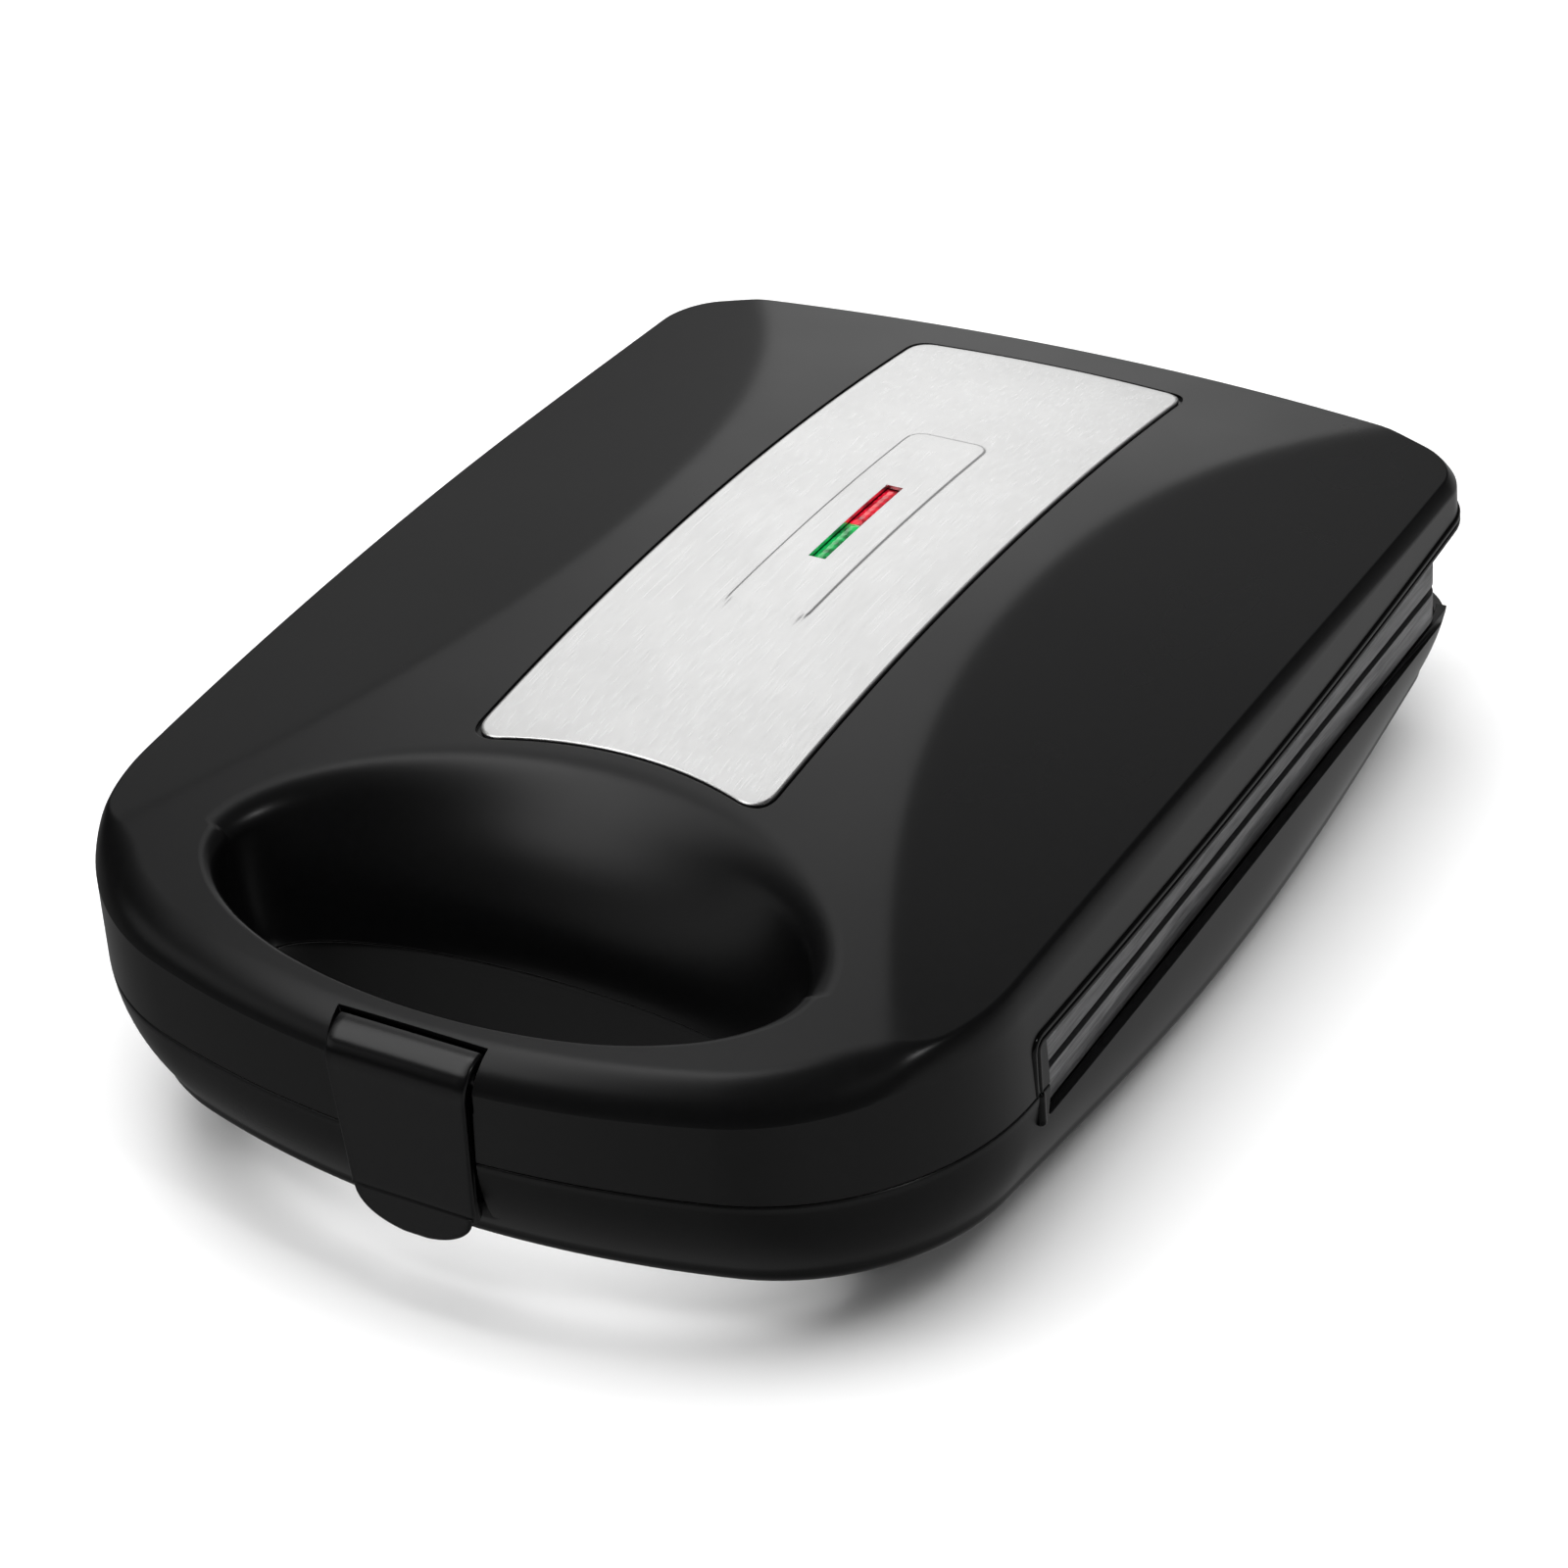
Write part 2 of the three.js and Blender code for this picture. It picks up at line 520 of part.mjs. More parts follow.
function cookingPlate(rimHeight) {
  const p = PLATE;
  const face = PARTING_Z + p.gap / 2;
  const back = face + p.thickness;
  const frame = cut(
    prism(plateOutline(0), face, face + rimHeight),
    prism(plateOutline(p.rim), back, FAR),
  );
  const bumps = ringCentres().map(([x, y]) => halfRing(RING.groove + RING.skin, x, y, face + 0.5, 0));
  const grooves = ringCentres().map(([x, y]) => halfRing(RING.groove, x, y, face, 1));
  const bosses = screwPlaces().map(([x, y]) =>
    cylinderZ(SCREW.bossRadius, x, y, face + 1, PARTING_Z + TRAY.offset - GAP, 16));
  const bores = screwPlaces().map(([x, y]) => cylinderZ(SCREW.shankRadius + GAP, x, y, back + 5, FAR, 16));
  return cut(join(frame, ...bumps, ...bosses), ...grooves, ...bores);
}

function reflectorTray() {
  const t = TRAY;
  const z = PARTING_Z + t.offset;
  const plan = (trim) =>
    roundedRectangle(-t.halfX + trim, t.halfX - trim, t.frontY + trim, t.backY - trim, t.corner - trim);
  const shell = (trim, z0, z1) => prism(plan(trim), z0, z1, 4);
  const holes = screwPlaces().map(([x, y]) => cylinderZ(SCREW.shankRadius + GAP, x, y, 0, FAR, 16));
  return cut(shell(0, z - t.rim, z + t.sheet), shell(t.sheet, 0, z), ...holes);
}

function heatingElement() {
  const h = HEATER;
  const z = PARTING_Z + h.offset;
  const right = [
    [h.tailX, h.tailY], [h.tailX + 3, h.backY + 20], [h.halfX - 30, h.backY + 8], [h.halfX, h.backY - 20],
    [h.halfX, h.frontY + 15], [h.halfX - 30, h.frontY - 12], [h.halfX / 3, h.frontY - 14],
  ];
  const places = [...right, ...right.slice().reverse().map(([x, y]) => [-x, y])];
  const path = new THREE.CatmullRomCurve3(places.map(([x, y]) => new THREE.Vector3(x, y, z)));
  const section = new THREE.Shape().absarc(0, 0, h.radius, 0, 2 * Math.PI);
  const options = { steps: 36, curveSegments: 3, bevelEnabled: false, extrudePath: path };
  return solid(new THREE.ExtrudeGeometry(section, options));
}

function screw(x, y, seatZ, pointZ) {
  const away = Math.sign(seatZ - pointZ);
  const head = [seatZ, seatZ + away * SCREW.headHeight].sort((a, b) => a - b);
  const shank = [seatZ, pointZ].sort((a, b) => a - b);
  return join(
    cylinderZ(SCREW.headRadius, x, y, ...head, 16),
    cylinderZ(SCREW.shankRadius, x, y, ...shank, 12),
  );
}

// ---- Latch ----
// Section in (y, z): a barrel round the pin, a flat plate down to the hook, and a thumb tab.
function latchSection() {
  const l = LATCH;
  const face = l.y - l.radius;
  const back = face + l.plate;
  const shape = new THREE.Shape();
  shape.absarc(l.y, l.z, l.radius, Math.PI, 0.42 * Math.PI, true);
  shape.absarc(l.y, l.z, l.boss, 0.3 * Math.PI, -0.75 * Math.PI, true);
  shape.lineTo(back, l.z - 9);
  shape.lineTo(back, l.faceZ + 4);
  shape.lineTo(NOTCH.ledgeY - 0.5, l.faceZ + 3);
  shape.lineTo(NOTCH.ledgeY - 0.5, l.chinZ + 2);
  shape.lineTo(back - 0.4, l.chinZ);
  shape.lineTo(face + 1.2, l.chinZ + 2);
  shape.lineTo(face + 0.9, l.faceZ);
  shape.lineTo(face, l.faceZ);
  return shape;
}

// Outline in (x, z): sides that taper downwards, and a rounded thumb tab below the flat face.
function latchFront() {
  const l = LATCH;
  const shape = new THREE.Shape();
  shape.moveTo(l.lowHalf, l.faceZ);
  shape.lineTo(l.topHalf, l.z + l.radius + 1);
  shape.lineTo(-l.topHalf, l.z + l.radius + 1);
  shape.lineTo(-l.lowHalf, l.faceZ);
  shape.absellipse(0, l.faceZ, l.lowHalf, l.faceZ - l.chinZ, Math.PI, 2 * Math.PI);
  return shape;
}

function latchClip() {
  const whole = common(prismX(latchSection(), LATCH.topHalf + 1), prismY(latchFront(), -190, -150));
  return cut(whole, cylinderX(LATCH_PIN.radius + GAP, -FAR, FAR, LATCH.y, LATCH.z));
}

// ---- Base ----
function baseHousing() {
  const headZ = PARTING_Z - GAP / 2;
  const outer = ringBody(OUTLINE.map((edge) => baseColumn(edge, 0, headZ)));
  const inner = ringBody(OUTLINE.map((edge) => baseColumn(edge, WALL, headZ + 5)));
  const columnTop = PARTING_Z - TRAY.offset - TRAY.sheet - GAP;
  const columns = screwPlaces().map(([x, y]) => cylinderZ(COLUMN_RADIUS, x, y, KEEL.lowZ + 1, columnTop));
  const counterbores = screwPlaces().flatMap(([x, y]) => [
    cylinderZ(SCREW.headRadius + GAP, x, y, 0, KEEL.lowZ + SCREW.sunk),
    cylinderZ(SCREW.shankRadius + GAP, x, y, 0, columnTop + 5),
  ]);
  const postFoot = FOOT.padHeight + GAP;
  const posts = footPlaces().map(([x, y]) => cylinderZ(FOOT.postRadius, x, y, postFoot, keelZ(y) + 2));
  const stems = footPlaces().map(([x, y]) => cylinderZ(FOOT.stem + GAP, x, y, 0, FOOT.padHeight + 6));
  const pad = box(-13, 13, GLAND.innerY, GLAND.faceY, GLAND.z - 11, GLAND.z + 11);
  const cordHole = cylinderY(GLAND.body + GAP, 0, GLAND.innerY - 5, GLAND.faceY + 5, GLAND.z);
  const ledge = box(-12, 12, NOTCH.ledgeY, NOTCH.baseY + 1, ...NOTCH.ledgeZ);
  let base = cut(outer, common(inner, hollowZones(0, headZ + 10)));
  base = cut(base, plateBay(), sideOpening(SIDE_OPENING.baseZ, FAR));
  base = cut(base, knuckleClearance(knuckleRanges.lid));
  base = join(cut(base, latchNotch(NOTCH.baseY)), ledge, ...columns, ...posts, pad);
  base = join(base, knuckles(knuckleRanges.base, PARTING_Z - HINGE.radius, headZ));
  return cut(base, hingeBores(), ...counterbores, ...stems, cordHole);
}

function rubberFoot(x, y) {
  return join(
    cylinderZ(FOOT.padRadius, x, y, 0, FOOT.padHeight, 24),
    cylinderZ(FOOT.stem, x, y, 0, FOOT.padHeight + 5),
  );
}

function cordGland() {
  const g = GLAND;
  const whole = join(
    cylinderY(g.body, 0, g.innerY - 3, g.faceY + 1, g.z),
    cylinderY(g.collar, 0, g.faceY + GAP, g.faceY + 3.2, g.z, 24),
    cylinderY(g.collar - 0.5, 0, g.innerY - 4, g.innerY - GAP, g.z, 24),
  );
  return cut(whole, cylinderY(g.bore, 0, g.innerY - 10, g.faceY + 10, g.z));
}

// Snap-disc thermostat seated in the well behind the middle ring of the lower plate.
function thermostat() {
  const top = PARTING_Z - PLATE.gap / 2 - PLATE.thickness - GAP;
  return join(
    cylinderZ(7.6, 0, RING.y, top - 7, top, 24),
    cylinderZ(5.5, 0, RING.y, top - 13, top - 6, 16),
  );
}

function thermalFuse() {
  const y = HEATER.backY + 42;
  return join(cylinderX(2.4, -8, 8, y, 44, 12), cylinderX(0.7, -16, 16, y, 44, 8));
}

function terminalBlock() {
  const body = box(25, 57, 147, 156, 27, 38);
  const wells = [32, 41, 50].flatMap((x) => [
    cylinderZ(2.4, x, 152.5, 34, 40, 12),
    cylinderY(1.8, x, 145, 150, 30.5, 12),
  ]);
  return cut(body, ...wells);
}

// ---- Assembly ----
const donutMaker = new THREE.Group();
const lidGroup = new THREE.Group();
const baseGroup = new THREE.Group();
donutMaker.add(lidGroup, baseGroup);

function addPart(group, name, shape, look) {
  const mesh = shape.getMesh();
  const geometry = new THREE.BufferGeometry();
  geometry.setAttribute("position", new THREE.BufferAttribute(new Float32Array(mesh.vertProperties), 3));
  geometry.setIndex(new THREE.BufferAttribute(mesh.triVerts, 1));
  geometry.computeVertexNormals();
  const part = new THREE.Mesh(geometry, look);
  part.name = name;
  group.add(part);
  return part;
}

// A piece made for the lid, turned over about the parting plane for the base.
function addMirrored(name, shape, look) {
  const part = addPart(baseGroup, name, shape, look);
  part.scale.z = -1;
  part.position.z = 2 * PARTING_Z;
}

addPart(lidGroup, "lid_housing", lidHousing(), SATIN_BLACK);
addPart(lidGroup, "trim_panel", trimPanel(), STEEL);
const windowMiddle = (WINDOW.frontY + WINDOW.backY) / 2;
addPart(lidGroup, "lens_green", lens(WINDOW.frontY + GAP, windowMiddle - GAP / 2), GREEN_LENS);
addPart(lidGroup, "lens_red", lens(windowMiddle + GAP / 2, WINDOW.backY - GAP), RED_LENS);
addPart(lidGroup, "lamp_holder", lampHolder(), CERAMIC);
addPart(lidGroup, "neon_lamp_green", neonLamp(windowMiddle - 12), LAMP_GLASS);
addPart(lidGroup, "neon_lamp_red", neonLamp(windowMiddle + 12), LAMP_GLASS);
addPart(lidGroup, "upper_plate", cookingPlate(PLATE.upperRim), CAST);
addPart(lidGroup, "upper_heating_element", heatingElement(), TINNED);
addPart(lidGroup, "upper_reflector", reflectorTray(), TINNED);
const latchPin = cylinderX(LATCH_PIN.radius, -LATCH_PIN.halfLength, LATCH_PIN.halfLength, LATCH.y, LATCH.z);
addPart(lidGroup, "latch_pin", latchPin, TINNED);
addPart(lidGroup, "latch_clip", latchClip(), GLOSS_BLACK);

addPart(baseGroup, "base_housing", baseHousing(), SATIN_BLACK);
addMirrored("lower_plate", cookingPlate(PLATE.lowerRim), CAST);
addMirrored("lower_heating_element", heatingElement(), TINNED);
addMirrored("lower_reflector", reflectorTray(), TINNED);
addPart(baseGroup, "thermostat", thermostat(), TINNED);
addPart(baseGroup, "thermal_fuse", thermalFuse(), CERAMIC);
addPart(baseGroup, "terminal_block", terminalBlock(), CERAMIC);
addPart(baseGroup, "cord_gland", cordGland(), RUBBER);

const PLACE_NAMES = ["left_front", "left_back", "right_front", "right_back"];
screwPlaces().forEach(([x, y], i) => {
  const tip = PLATE.thickness + SCREW.bite;
  const seat = SCREW.sunk - GAP;
  addPart(lidGroup, "upper_screw_" + PLACE_NAMES[i], screw(x, y, archZ(y) - seat, PARTING_Z + tip), TINNED);
  addPart(baseGroup, "lower_screw_" + PLACE_NAMES[i], screw(x, y, KEEL.lowZ + seat, PARTING_Z - tip), TINNED);
});
footPlaces().forEach(([x, y], i) => addPart(baseGroup, "foot_" + PLACE_NAMES[i], rubberFoot(x, y), RUBBER));
bothSides([[HINGE.knuckles[0] - 1, HINGE.knuckles[3] + 1]]).forEach(([a, b]) => {
  const name = "hinge_pin_" + (a < 0 ? "left" : "right");
  addPart(baseGroup, name, cylinderX(HINGE.pin, a, b, HINGE.y, HINGE.z, 16), TINNED);
});

export default donutMaker;
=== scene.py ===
"""Electric donut maker: fine shells, latch, trim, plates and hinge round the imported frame."""
from math import acos, atan2, cos, pi, radians, sin, sqrt

import bpy
import bmesh
import numpy as np
from mathutils import Matrix, Vector


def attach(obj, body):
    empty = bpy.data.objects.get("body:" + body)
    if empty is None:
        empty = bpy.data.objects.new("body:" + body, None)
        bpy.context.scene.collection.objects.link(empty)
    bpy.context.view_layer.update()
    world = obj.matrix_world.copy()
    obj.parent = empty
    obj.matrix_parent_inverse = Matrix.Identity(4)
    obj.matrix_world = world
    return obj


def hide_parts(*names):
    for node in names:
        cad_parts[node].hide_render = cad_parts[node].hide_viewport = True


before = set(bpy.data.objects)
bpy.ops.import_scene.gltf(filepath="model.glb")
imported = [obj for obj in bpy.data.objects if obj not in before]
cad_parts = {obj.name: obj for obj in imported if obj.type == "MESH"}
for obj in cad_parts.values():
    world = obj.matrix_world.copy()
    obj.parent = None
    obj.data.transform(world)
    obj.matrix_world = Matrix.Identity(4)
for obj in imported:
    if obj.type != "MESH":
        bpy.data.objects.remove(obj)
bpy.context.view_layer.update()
MM = 0.001

# ---- Camera: the row frame, millimetres ----
CAMERA_AT = (516.80, -807.49, 690.41)
CAMERA_TURN, CAMERA_TILT, CAMERA_ROLL = 32.7404, 34.1201, -5.2329
LENS_MM = 103.27


def make_camera():
    turn, tilt, roll = (radians(v) for v in (CAMERA_TURN, CAMERA_TILT, CAMERA_ROLL))
    look = Vector((-sin(turn) * cos(tilt), cos(turn) * cos(tilt), -sin(tilt)))
    right = Vector((cos(turn), sin(turn), 0))
    up = right.cross(look)
    x_axis = right * cos(roll) + up * sin(roll)
    y_axis = up * cos(roll) - right * sin(roll)
    data = bpy.data.cameras.new("camera")
    data.lens = LENS_MM
    data.sensor_width = 36
    data.clip_start, data.clip_end = 0.05, 30
    cam = bpy.data.objects.new("camera", data)
    turned = Matrix((x_axis, y_axis, -look)).transposed().to_4x4()
    cam.matrix_world = Matrix.Translation(Vector(CAMERA_AT) * MM) @ turned
    bpy.context.scene.collection.objects.link(cam)
    bpy.context.scene.camera = cam


make_camera()

# ---- Driving dimensions, the same as the frame's, in millimetres ----
HALF_WIDTH, PARTING, GAP, WALL = 125.6, 52.3, 0.3, 2.6
FRONT_Y, FRONT_R = -177.0, 280.0
SIDE_Y, SIDE_R = 5.0, 4000.0
BACK_Y, BACK_R = 171.5, 484.0
FRONT_CORNER_R, LID_CORNER_R, BASE_CORNER_R = 66.0, 18.0, 27.0
ARC_STEPS = (30, 40, 84, 18, 40)
ARCH_TOP, ARCH_FALL, ARCH_MIDDLE, ARCH_HALF = 96.7, 15.1, 3.0, 163.0
CREASE_X, CREASE_Y, CREASE_SLOPE, CREASE_SOFT = 56.0, 24.5, 0.17, 1.1
CREASE_BACK, CREASE_FRONT = (47.9, 141.5, 2.5), (42.5, 144.5, 1.93)
KEEL_LOW, KEEL_RISE, KEEL_MIDDLE, KEEL_HALF, KEEL_R = 8.0, 13.5, 20.0, 188.0, 5.4
HOLE_Y, HOLE_TOP, HOLE_BOTTOM = -129.0, 95.0, 20.0
HOLE_HALF, HOLE_FRONT, HOLE_REAR = 72.0, 31.0, 19.0
SCOOP_DEPTH, SCOOP_POWER, SCOOP_SLANT = 32.0, 1.8, 1.45
LID_R, LID_SWEEP_CUT = 9.0, radians(20)
EDGE_TURNS = [radians(v) for v in (0, 48, 60, 90)]
EDGE_SIDE, EDGE_REAR, EDGE_FRONT = (1.7, 3.0, 15.0), (1.0, 17.0, 2.0), 13.6
SIDE_X, SIDE_FRONT, SIDE_BACK, HINGE_BOX_X = 121.3, -96.4, 142.5, 94.0
LID_SKIRT, BASE_LIP, LIP_MIDDLE, LIP_EASE = 67.0, 43.7, 15.0, 2.2
LIP_FRONT, LIP_BACK = (2.0, 113.0), (6.4, 145.0)
BEAD_R, BEAD_STEP, BEAD_SINK = 1.05, 0.95, 0.75
BULK_FRONT, BULK_BACK, BULK_X, HINGE_BULK_Y = -106.5, -104.0, 27.0, 145.5
PLATE_X, PLATE_FRONT, PLATE_BACK, PLATE_CORNER = 121.0, -101.0, 140.0, 9.0
PLATE_GAP, PLATE_SKIN, PLATE_RIM, UPPER_RIM, LOWER_RIM = 0.8, 2.4, 2.2, 14.0, 9.5
RING_PITCH, RING_Y, RING_R, RING_TUBE, RING_SKIN = 76.0, 19.5, 24.0, 11.5, 1.9
PANEL_X, PANEL_FRONT, PANEL_BACK, PANEL_CORNER = 41.2, -77.8, 150.8, 7.0
PANEL_BOW, PANEL_GROOVE = (6.6, 2.0), 0.9
WINDOW_X, WINDOW_FRONT, WINDOW_BACK = 2.4, 21.3, 62.6
FRAME_X, FRAME_FRONT, FRAME_BACK, FRAME_R, FRAME_RISE = 11.5, -7.0, 94.0, 4.5, 0.2
LENS_SINK, LENS_RIDGE = 0.75, 0.55
LATCH_Y, LATCH_Z, LATCH_R, LATCH_BOSS, LATCH_SOFT = -171.7, 72.7, 6.3, 4.3, 2.7
LATCH_TOP, LATCH_LOW, LATCH_FACE, LATCH_CHIN, LATCH_PLATE = 19.6, 17.1, 36.0, 26.0, 2.8
NOTCH_SIDE, NOTCH_LID_Y, NOTCH_BASE_Y, LEDGE_Y, NOTCH_R = 0.9, -167.9, -171.4, -172.1, 7.2
LATCH_BORE, LATCH_PIN_R, LATCH_PIN_END, LATCH_ROUND = 1.8, 1.5, 24.5, 0.8
HINGE_Y, HINGE_R, PIN_R = 172.3, 5.7, 2.0
KNUCKLES = (58.0, 68.3, 79.7, 90.0)
FOOT_X, FOOT_YS = 80.0, (-72.0, 118.0)
SCREW_STEP, COLUMN_R, COLUMN_END, HEAD_BORE, SHANK_BORE = 21.9, 5.8, 23.8, 3.3, 2.2
BOSS_R, BOSS_END, SHANK_R, THREAD_R = 4.6, 22.4, 1.85, 1.5
GLAND_Z, GLAND_Y = 34.0, 170.0
FAR, FLOOR_HALF = 260.0, 9000.0


# ---- Mesh code ----
def make_mesh(name, verts, faces):
    mesh = bpy.data.meshes.new(name)
    points = [tuple(np.asarray(v) * MM) for v in verts]
    mesh.from_pydata(points, [], [tuple(int(i) for i in f) for f in faces])
    work = bmesh.new()
    work.from_mesh(mesh)
    bmesh.ops.remove_doubles(work, verts=work.verts, dist=1e-7)
    if work.calc_volume(signed=True) < 0:
        bmesh.ops.reverse_faces(work, faces=work.faces)
    work.to_mesh(mesh)
    work.free()
    made = bpy.data.objects.new(name, mesh)
    bpy.context.scene.collection.objects.link(made)
    return made


def skin(rings, closed=False):
    """Faces over point rings of equal length, capped unless the list is closed."""
    count, size = len(rings), len(rings[0])
    verts = [p for ring in rings for p in ring]
    faces = []
    for i in range(count if closed else count - 1):
        k = (i + 1) % count
        for j in range(size):
            m = (j + 1) % size
            faces.append((i * size + j, k * size + j, k * size + m, i * size + m))
    if not closed:
        faces.append(tuple(range(size)))
        faces.append(tuple((count - 1) * size + j for j in range(size))[::-1])
    return verts, faces


def boolean(target, tools, operation="DIFFERENCE"):
    for tool in tools:
        step = target.modifiers.new(tool.name, "BOOLEAN")
        step.solver = "MANIFOLD"
        step.operation = operation
        step.object = tool
    graph = bpy.context.evaluated_depsgraph_get()
    made = bpy.data.meshes.new_from_object(target.evaluated_get(graph))
    target.modifiers.clear()
    target.data = made
    for tool in tools:
        bpy.data.objects.remove(tool)
    return target


def prism(points, z0, z1):
    return make_mesh("tool", *skin([[(x, y, z) for x, y in points] for z in (z0, z1)]))


def block(x0, x1, y0, y1, z0, z1):
    return prism([(x0, y0), (x1, y0), (x1, y1), (x0, y1)], z0, z1)


def soft_block(x0, x1, y0, y1, z0, z1, radius):
    made = block(x0, x1, y0, y1, z0, z1)
    work = bmesh.new()
    work.from_mesh(made.data)
    bmesh.ops.bevel(work, geom=work.edges, offset=radius * MM, segments=3, profile=0.5, affect="EDGES")
    work.to_mesh(made.data)
    work.free()
    return made


def lathe(name, profile, at, axis="Z", sides=64):
    """A profile of (radius, height) turned about an axis through at."""
    spin = {"Z": lambda r, h, c, s: (r * c, r * s, h), "X": lambda r, h, c, s: (h, r * c, r * s),
            "Y": lambda r, h, c, s: (r * s, h, r * c)}[axis]
    angles = [2 * pi * i / sides for i in range(sides)]
    rings = [[np.add(at, spin(max(r, 1e-4), h, cos(a), sin(a))) for a in angles]
             for r, h in profile]
    return make_mesh(name, *skin(rings))


def rod(radius, x0, x1, y, z):
    return lathe("tool", [(radius, x0), (radius, x1)], (0, y, z), "X", 48)


def post(radius, x, y, z0, z1, sides=48):
    return lathe("tool", [(radius, z0), (radius, z1)], (x, y, 0), "Z", sides)


def arc(centre, radius, start, end, steps):
    (cx, cy), turns = centre, np.linspace(start, end, steps)
    return [(cx + radius * cos(t), cy + radius * sin(t)) for t in turns]


def bend(a, corner, b, steps):
    """A curve from a to b that leaves and arrives along the lines to a corner."""
    a, corner, b = (np.asarray(v, float) for v in (a, corner, b))
    return [(1 - t) ** 2 * a + 2 * t * (1 - t) * corner + t * t * b for t in np.linspace(0, 1, steps)]


def fillet(points, radius, steps):
    """A closed polyline with its sharper corners rounded off."""
    sharp = 0.35
    out = []
    pts = [np.array(p, float) for p in points]
    for i, p in enumerate(pts):
        a, b = pts[i - 1] - p, pts[(i + 1) % len(pts)] - p
        la, lb = np.linalg.norm(a), np.linalg.norm(b)
        turn = pi - acos(max(-1, min(1, float(a @ b) / (la * lb))))
        if turn < sharp:
            out.append(p)
            continue
        d = min(radius, 0.45 * la, 0.45 * lb)
        out += bend(p + a / la * d, p, p + b / lb * d, steps)
    return out


# ---- The shared outline ----
def tangent_centre(c1, r1, c2, r2, radius, towards):
    """The centre of an arc that touches two circles from inside, on the side nearer to towards."""
    a, b = r1 - radius, r2 - radius
    line = c2 - c1
    d = np.linalg.norm(line)
    along = (a * a - b * b + d * d) / (2 * d)
    across = sqrt(a * a - along * along)
    unit = line / d
    side = np.array((-unit[1], unit[0]))
    centres = (c1 + unit * along + side * s * across for s in (1, -1))
    return min(centres, key=lambda p: np.linalg.norm(p - towards))


def outline(back_corner):
    """Points and outward normals of the plan: five tangent arcs, mirrored."""
    front, side = np.array((0, FRONT_Y + FRONT_R)), np.array((HALF_WIDTH - SIDE_R, SIDE_Y))
    back = np.array((0, BACK_Y - BACK_R))
    fc = tangent_centre(front, FRONT_R, side, SIDE_R, FRONT_CORNER_R, np.array((HALF_WIDTH, FRONT_Y)))
    bc = tangent_centre(side, SIDE_R, back, BACK_R, back_corner, np.array((HALF_WIDTH, BACK_Y)))
    pairs = ((front, fc), (side, fc), (side, bc), (back, bc))
    turns = [atan2(b[1] - a[1], b[0] - a[0]) for a, b in pairs]
    bends = [-pi / 2, *turns, pi / 2]
    circles = [(front, FRONT_R), (fc, FRONT_CORNER_R), (side, SIDE_R), (bc, back_corner), (back, BACK_R)]
    points, normals = [], []
    for (centre, radius), a, b, steps in zip(circles, bends, bends[1:], ARC_STEPS):
        for t in np.linspace(a, b, steps, endpoint=False):
            n = np.array((cos(t), sin(t)))
            points.append(centre + n * radius)
            normals.append(n)
    flip = np.array((-1, 1))
    mirrored = range(len(points) - 1, 0, -1)
    points = points + [np.array((0, BACK_Y))] + [points[i] * flip for i in mirrored]
    normals = normals + [np.array((0.0, 1.0))] + [normals[i] * flip for i in mirrored]
    return np.array(points, float), np.array(normals, float)


def trace(back_corner):
    """Set the outline's points, outward normals and headings from the hole for one housing."""
    global EDGE, NORMAL, HEADING
    EDGE, NORMAL = outline(back_corner)
    away = EDGE - np.array((0, HOLE_Y))
    HEADING = away / np.linalg.norm(away, axis=1)[:, None]


trace(LID_CORNER_R)


# ---- Surface heights ----
def arch_z(y):
    """Height of the lid's middle strip, arched along its length."""
    return ARCH_TOP - ARCH_FALL * ((y - ARCH_MIDDLE) / ARCH_HALF) ** 2


def crease_x(y):
    """How far out the crease between the arch and the side facet lies."""
    past = np.asarray(y) - CREASE_Y
    (back, back_run, back_power), (front, front_run, front_power) = CREASE_BACK, CREASE_FRONT
    back = back * np.clip(past / back_run, 0, None) ** back_power
    front = front * np.clip(-past / front_run, 0, None) ** front_power
    return CREASE_X + back + front


def lid_z(x, y):
    """Height of the lid's top: the arch, falling away past the crease."""
    past = (np.abs(x) - crease_x(y)) / CREASE_SOFT
    return arch_z(y) - CREASE_SLOPE * CREASE_SOFT * np.logaddexp(0, past)


def keel_z(y):
    """Height of the base's underside, lowest in the middle."""
    return KEEL_LOW + KEEL_RISE * np.sin(pi / 2 * (np.asarray(y) - KEEL_MIDDLE) / KEEL_HALF) ** 2


def hole_wall(z, extra=0.0):
    """Points of the finger hole's wall for every column, at a height or heights."""
    z = np.broadcast_to(np.asarray(z, float), (len(HEADING),))
    up = np.clip((z - PARTING) / (HOLE_TOP - PARTING), 0, None)
    down = np.clip((PARTING - z) / (PARTING - HOLE_BOTTOM), 0, None)
    dx, dy = HEADING[:, 0], HEADING[:, 1]
    half = HOLE_HALF + 8.5 * np.sqrt(up) + 4 * down + extra
    front = HOLE_FRONT + 4.5 * up + 2 * down + extra
    slant = np.where(z > PARTING, SCOOP_SLANT, 1.0)
    rear = HOLE_REAR + SCOOP_DEPTH * up ** SCOOP_POWER + 7 * down + extra * slant
    reach = np.where(dy < 0, front, rear)
    far = 1 / np.hypot(dx / half, dy / reach)
    return np.stack((dx * far, HOLE_Y + dy * far, z), axis=1)


def smooth(value, low, high):
    """0 below low, 1 above high, eased between."""
    t = np.clip((np.asarray(value, float) - low) / (high - low), 0, 1)
    return t * t * (3 - 2 * t)


def inset(distance):
    """The outline moved inwards."""
    return EDGE - NORMAL * np.broadcast_to(distance, (len(EDGE),))[:, None]


def with_z(plan, z):
    return np.column_stack((plan, np.broadcast_to(z, (len(plan),))))


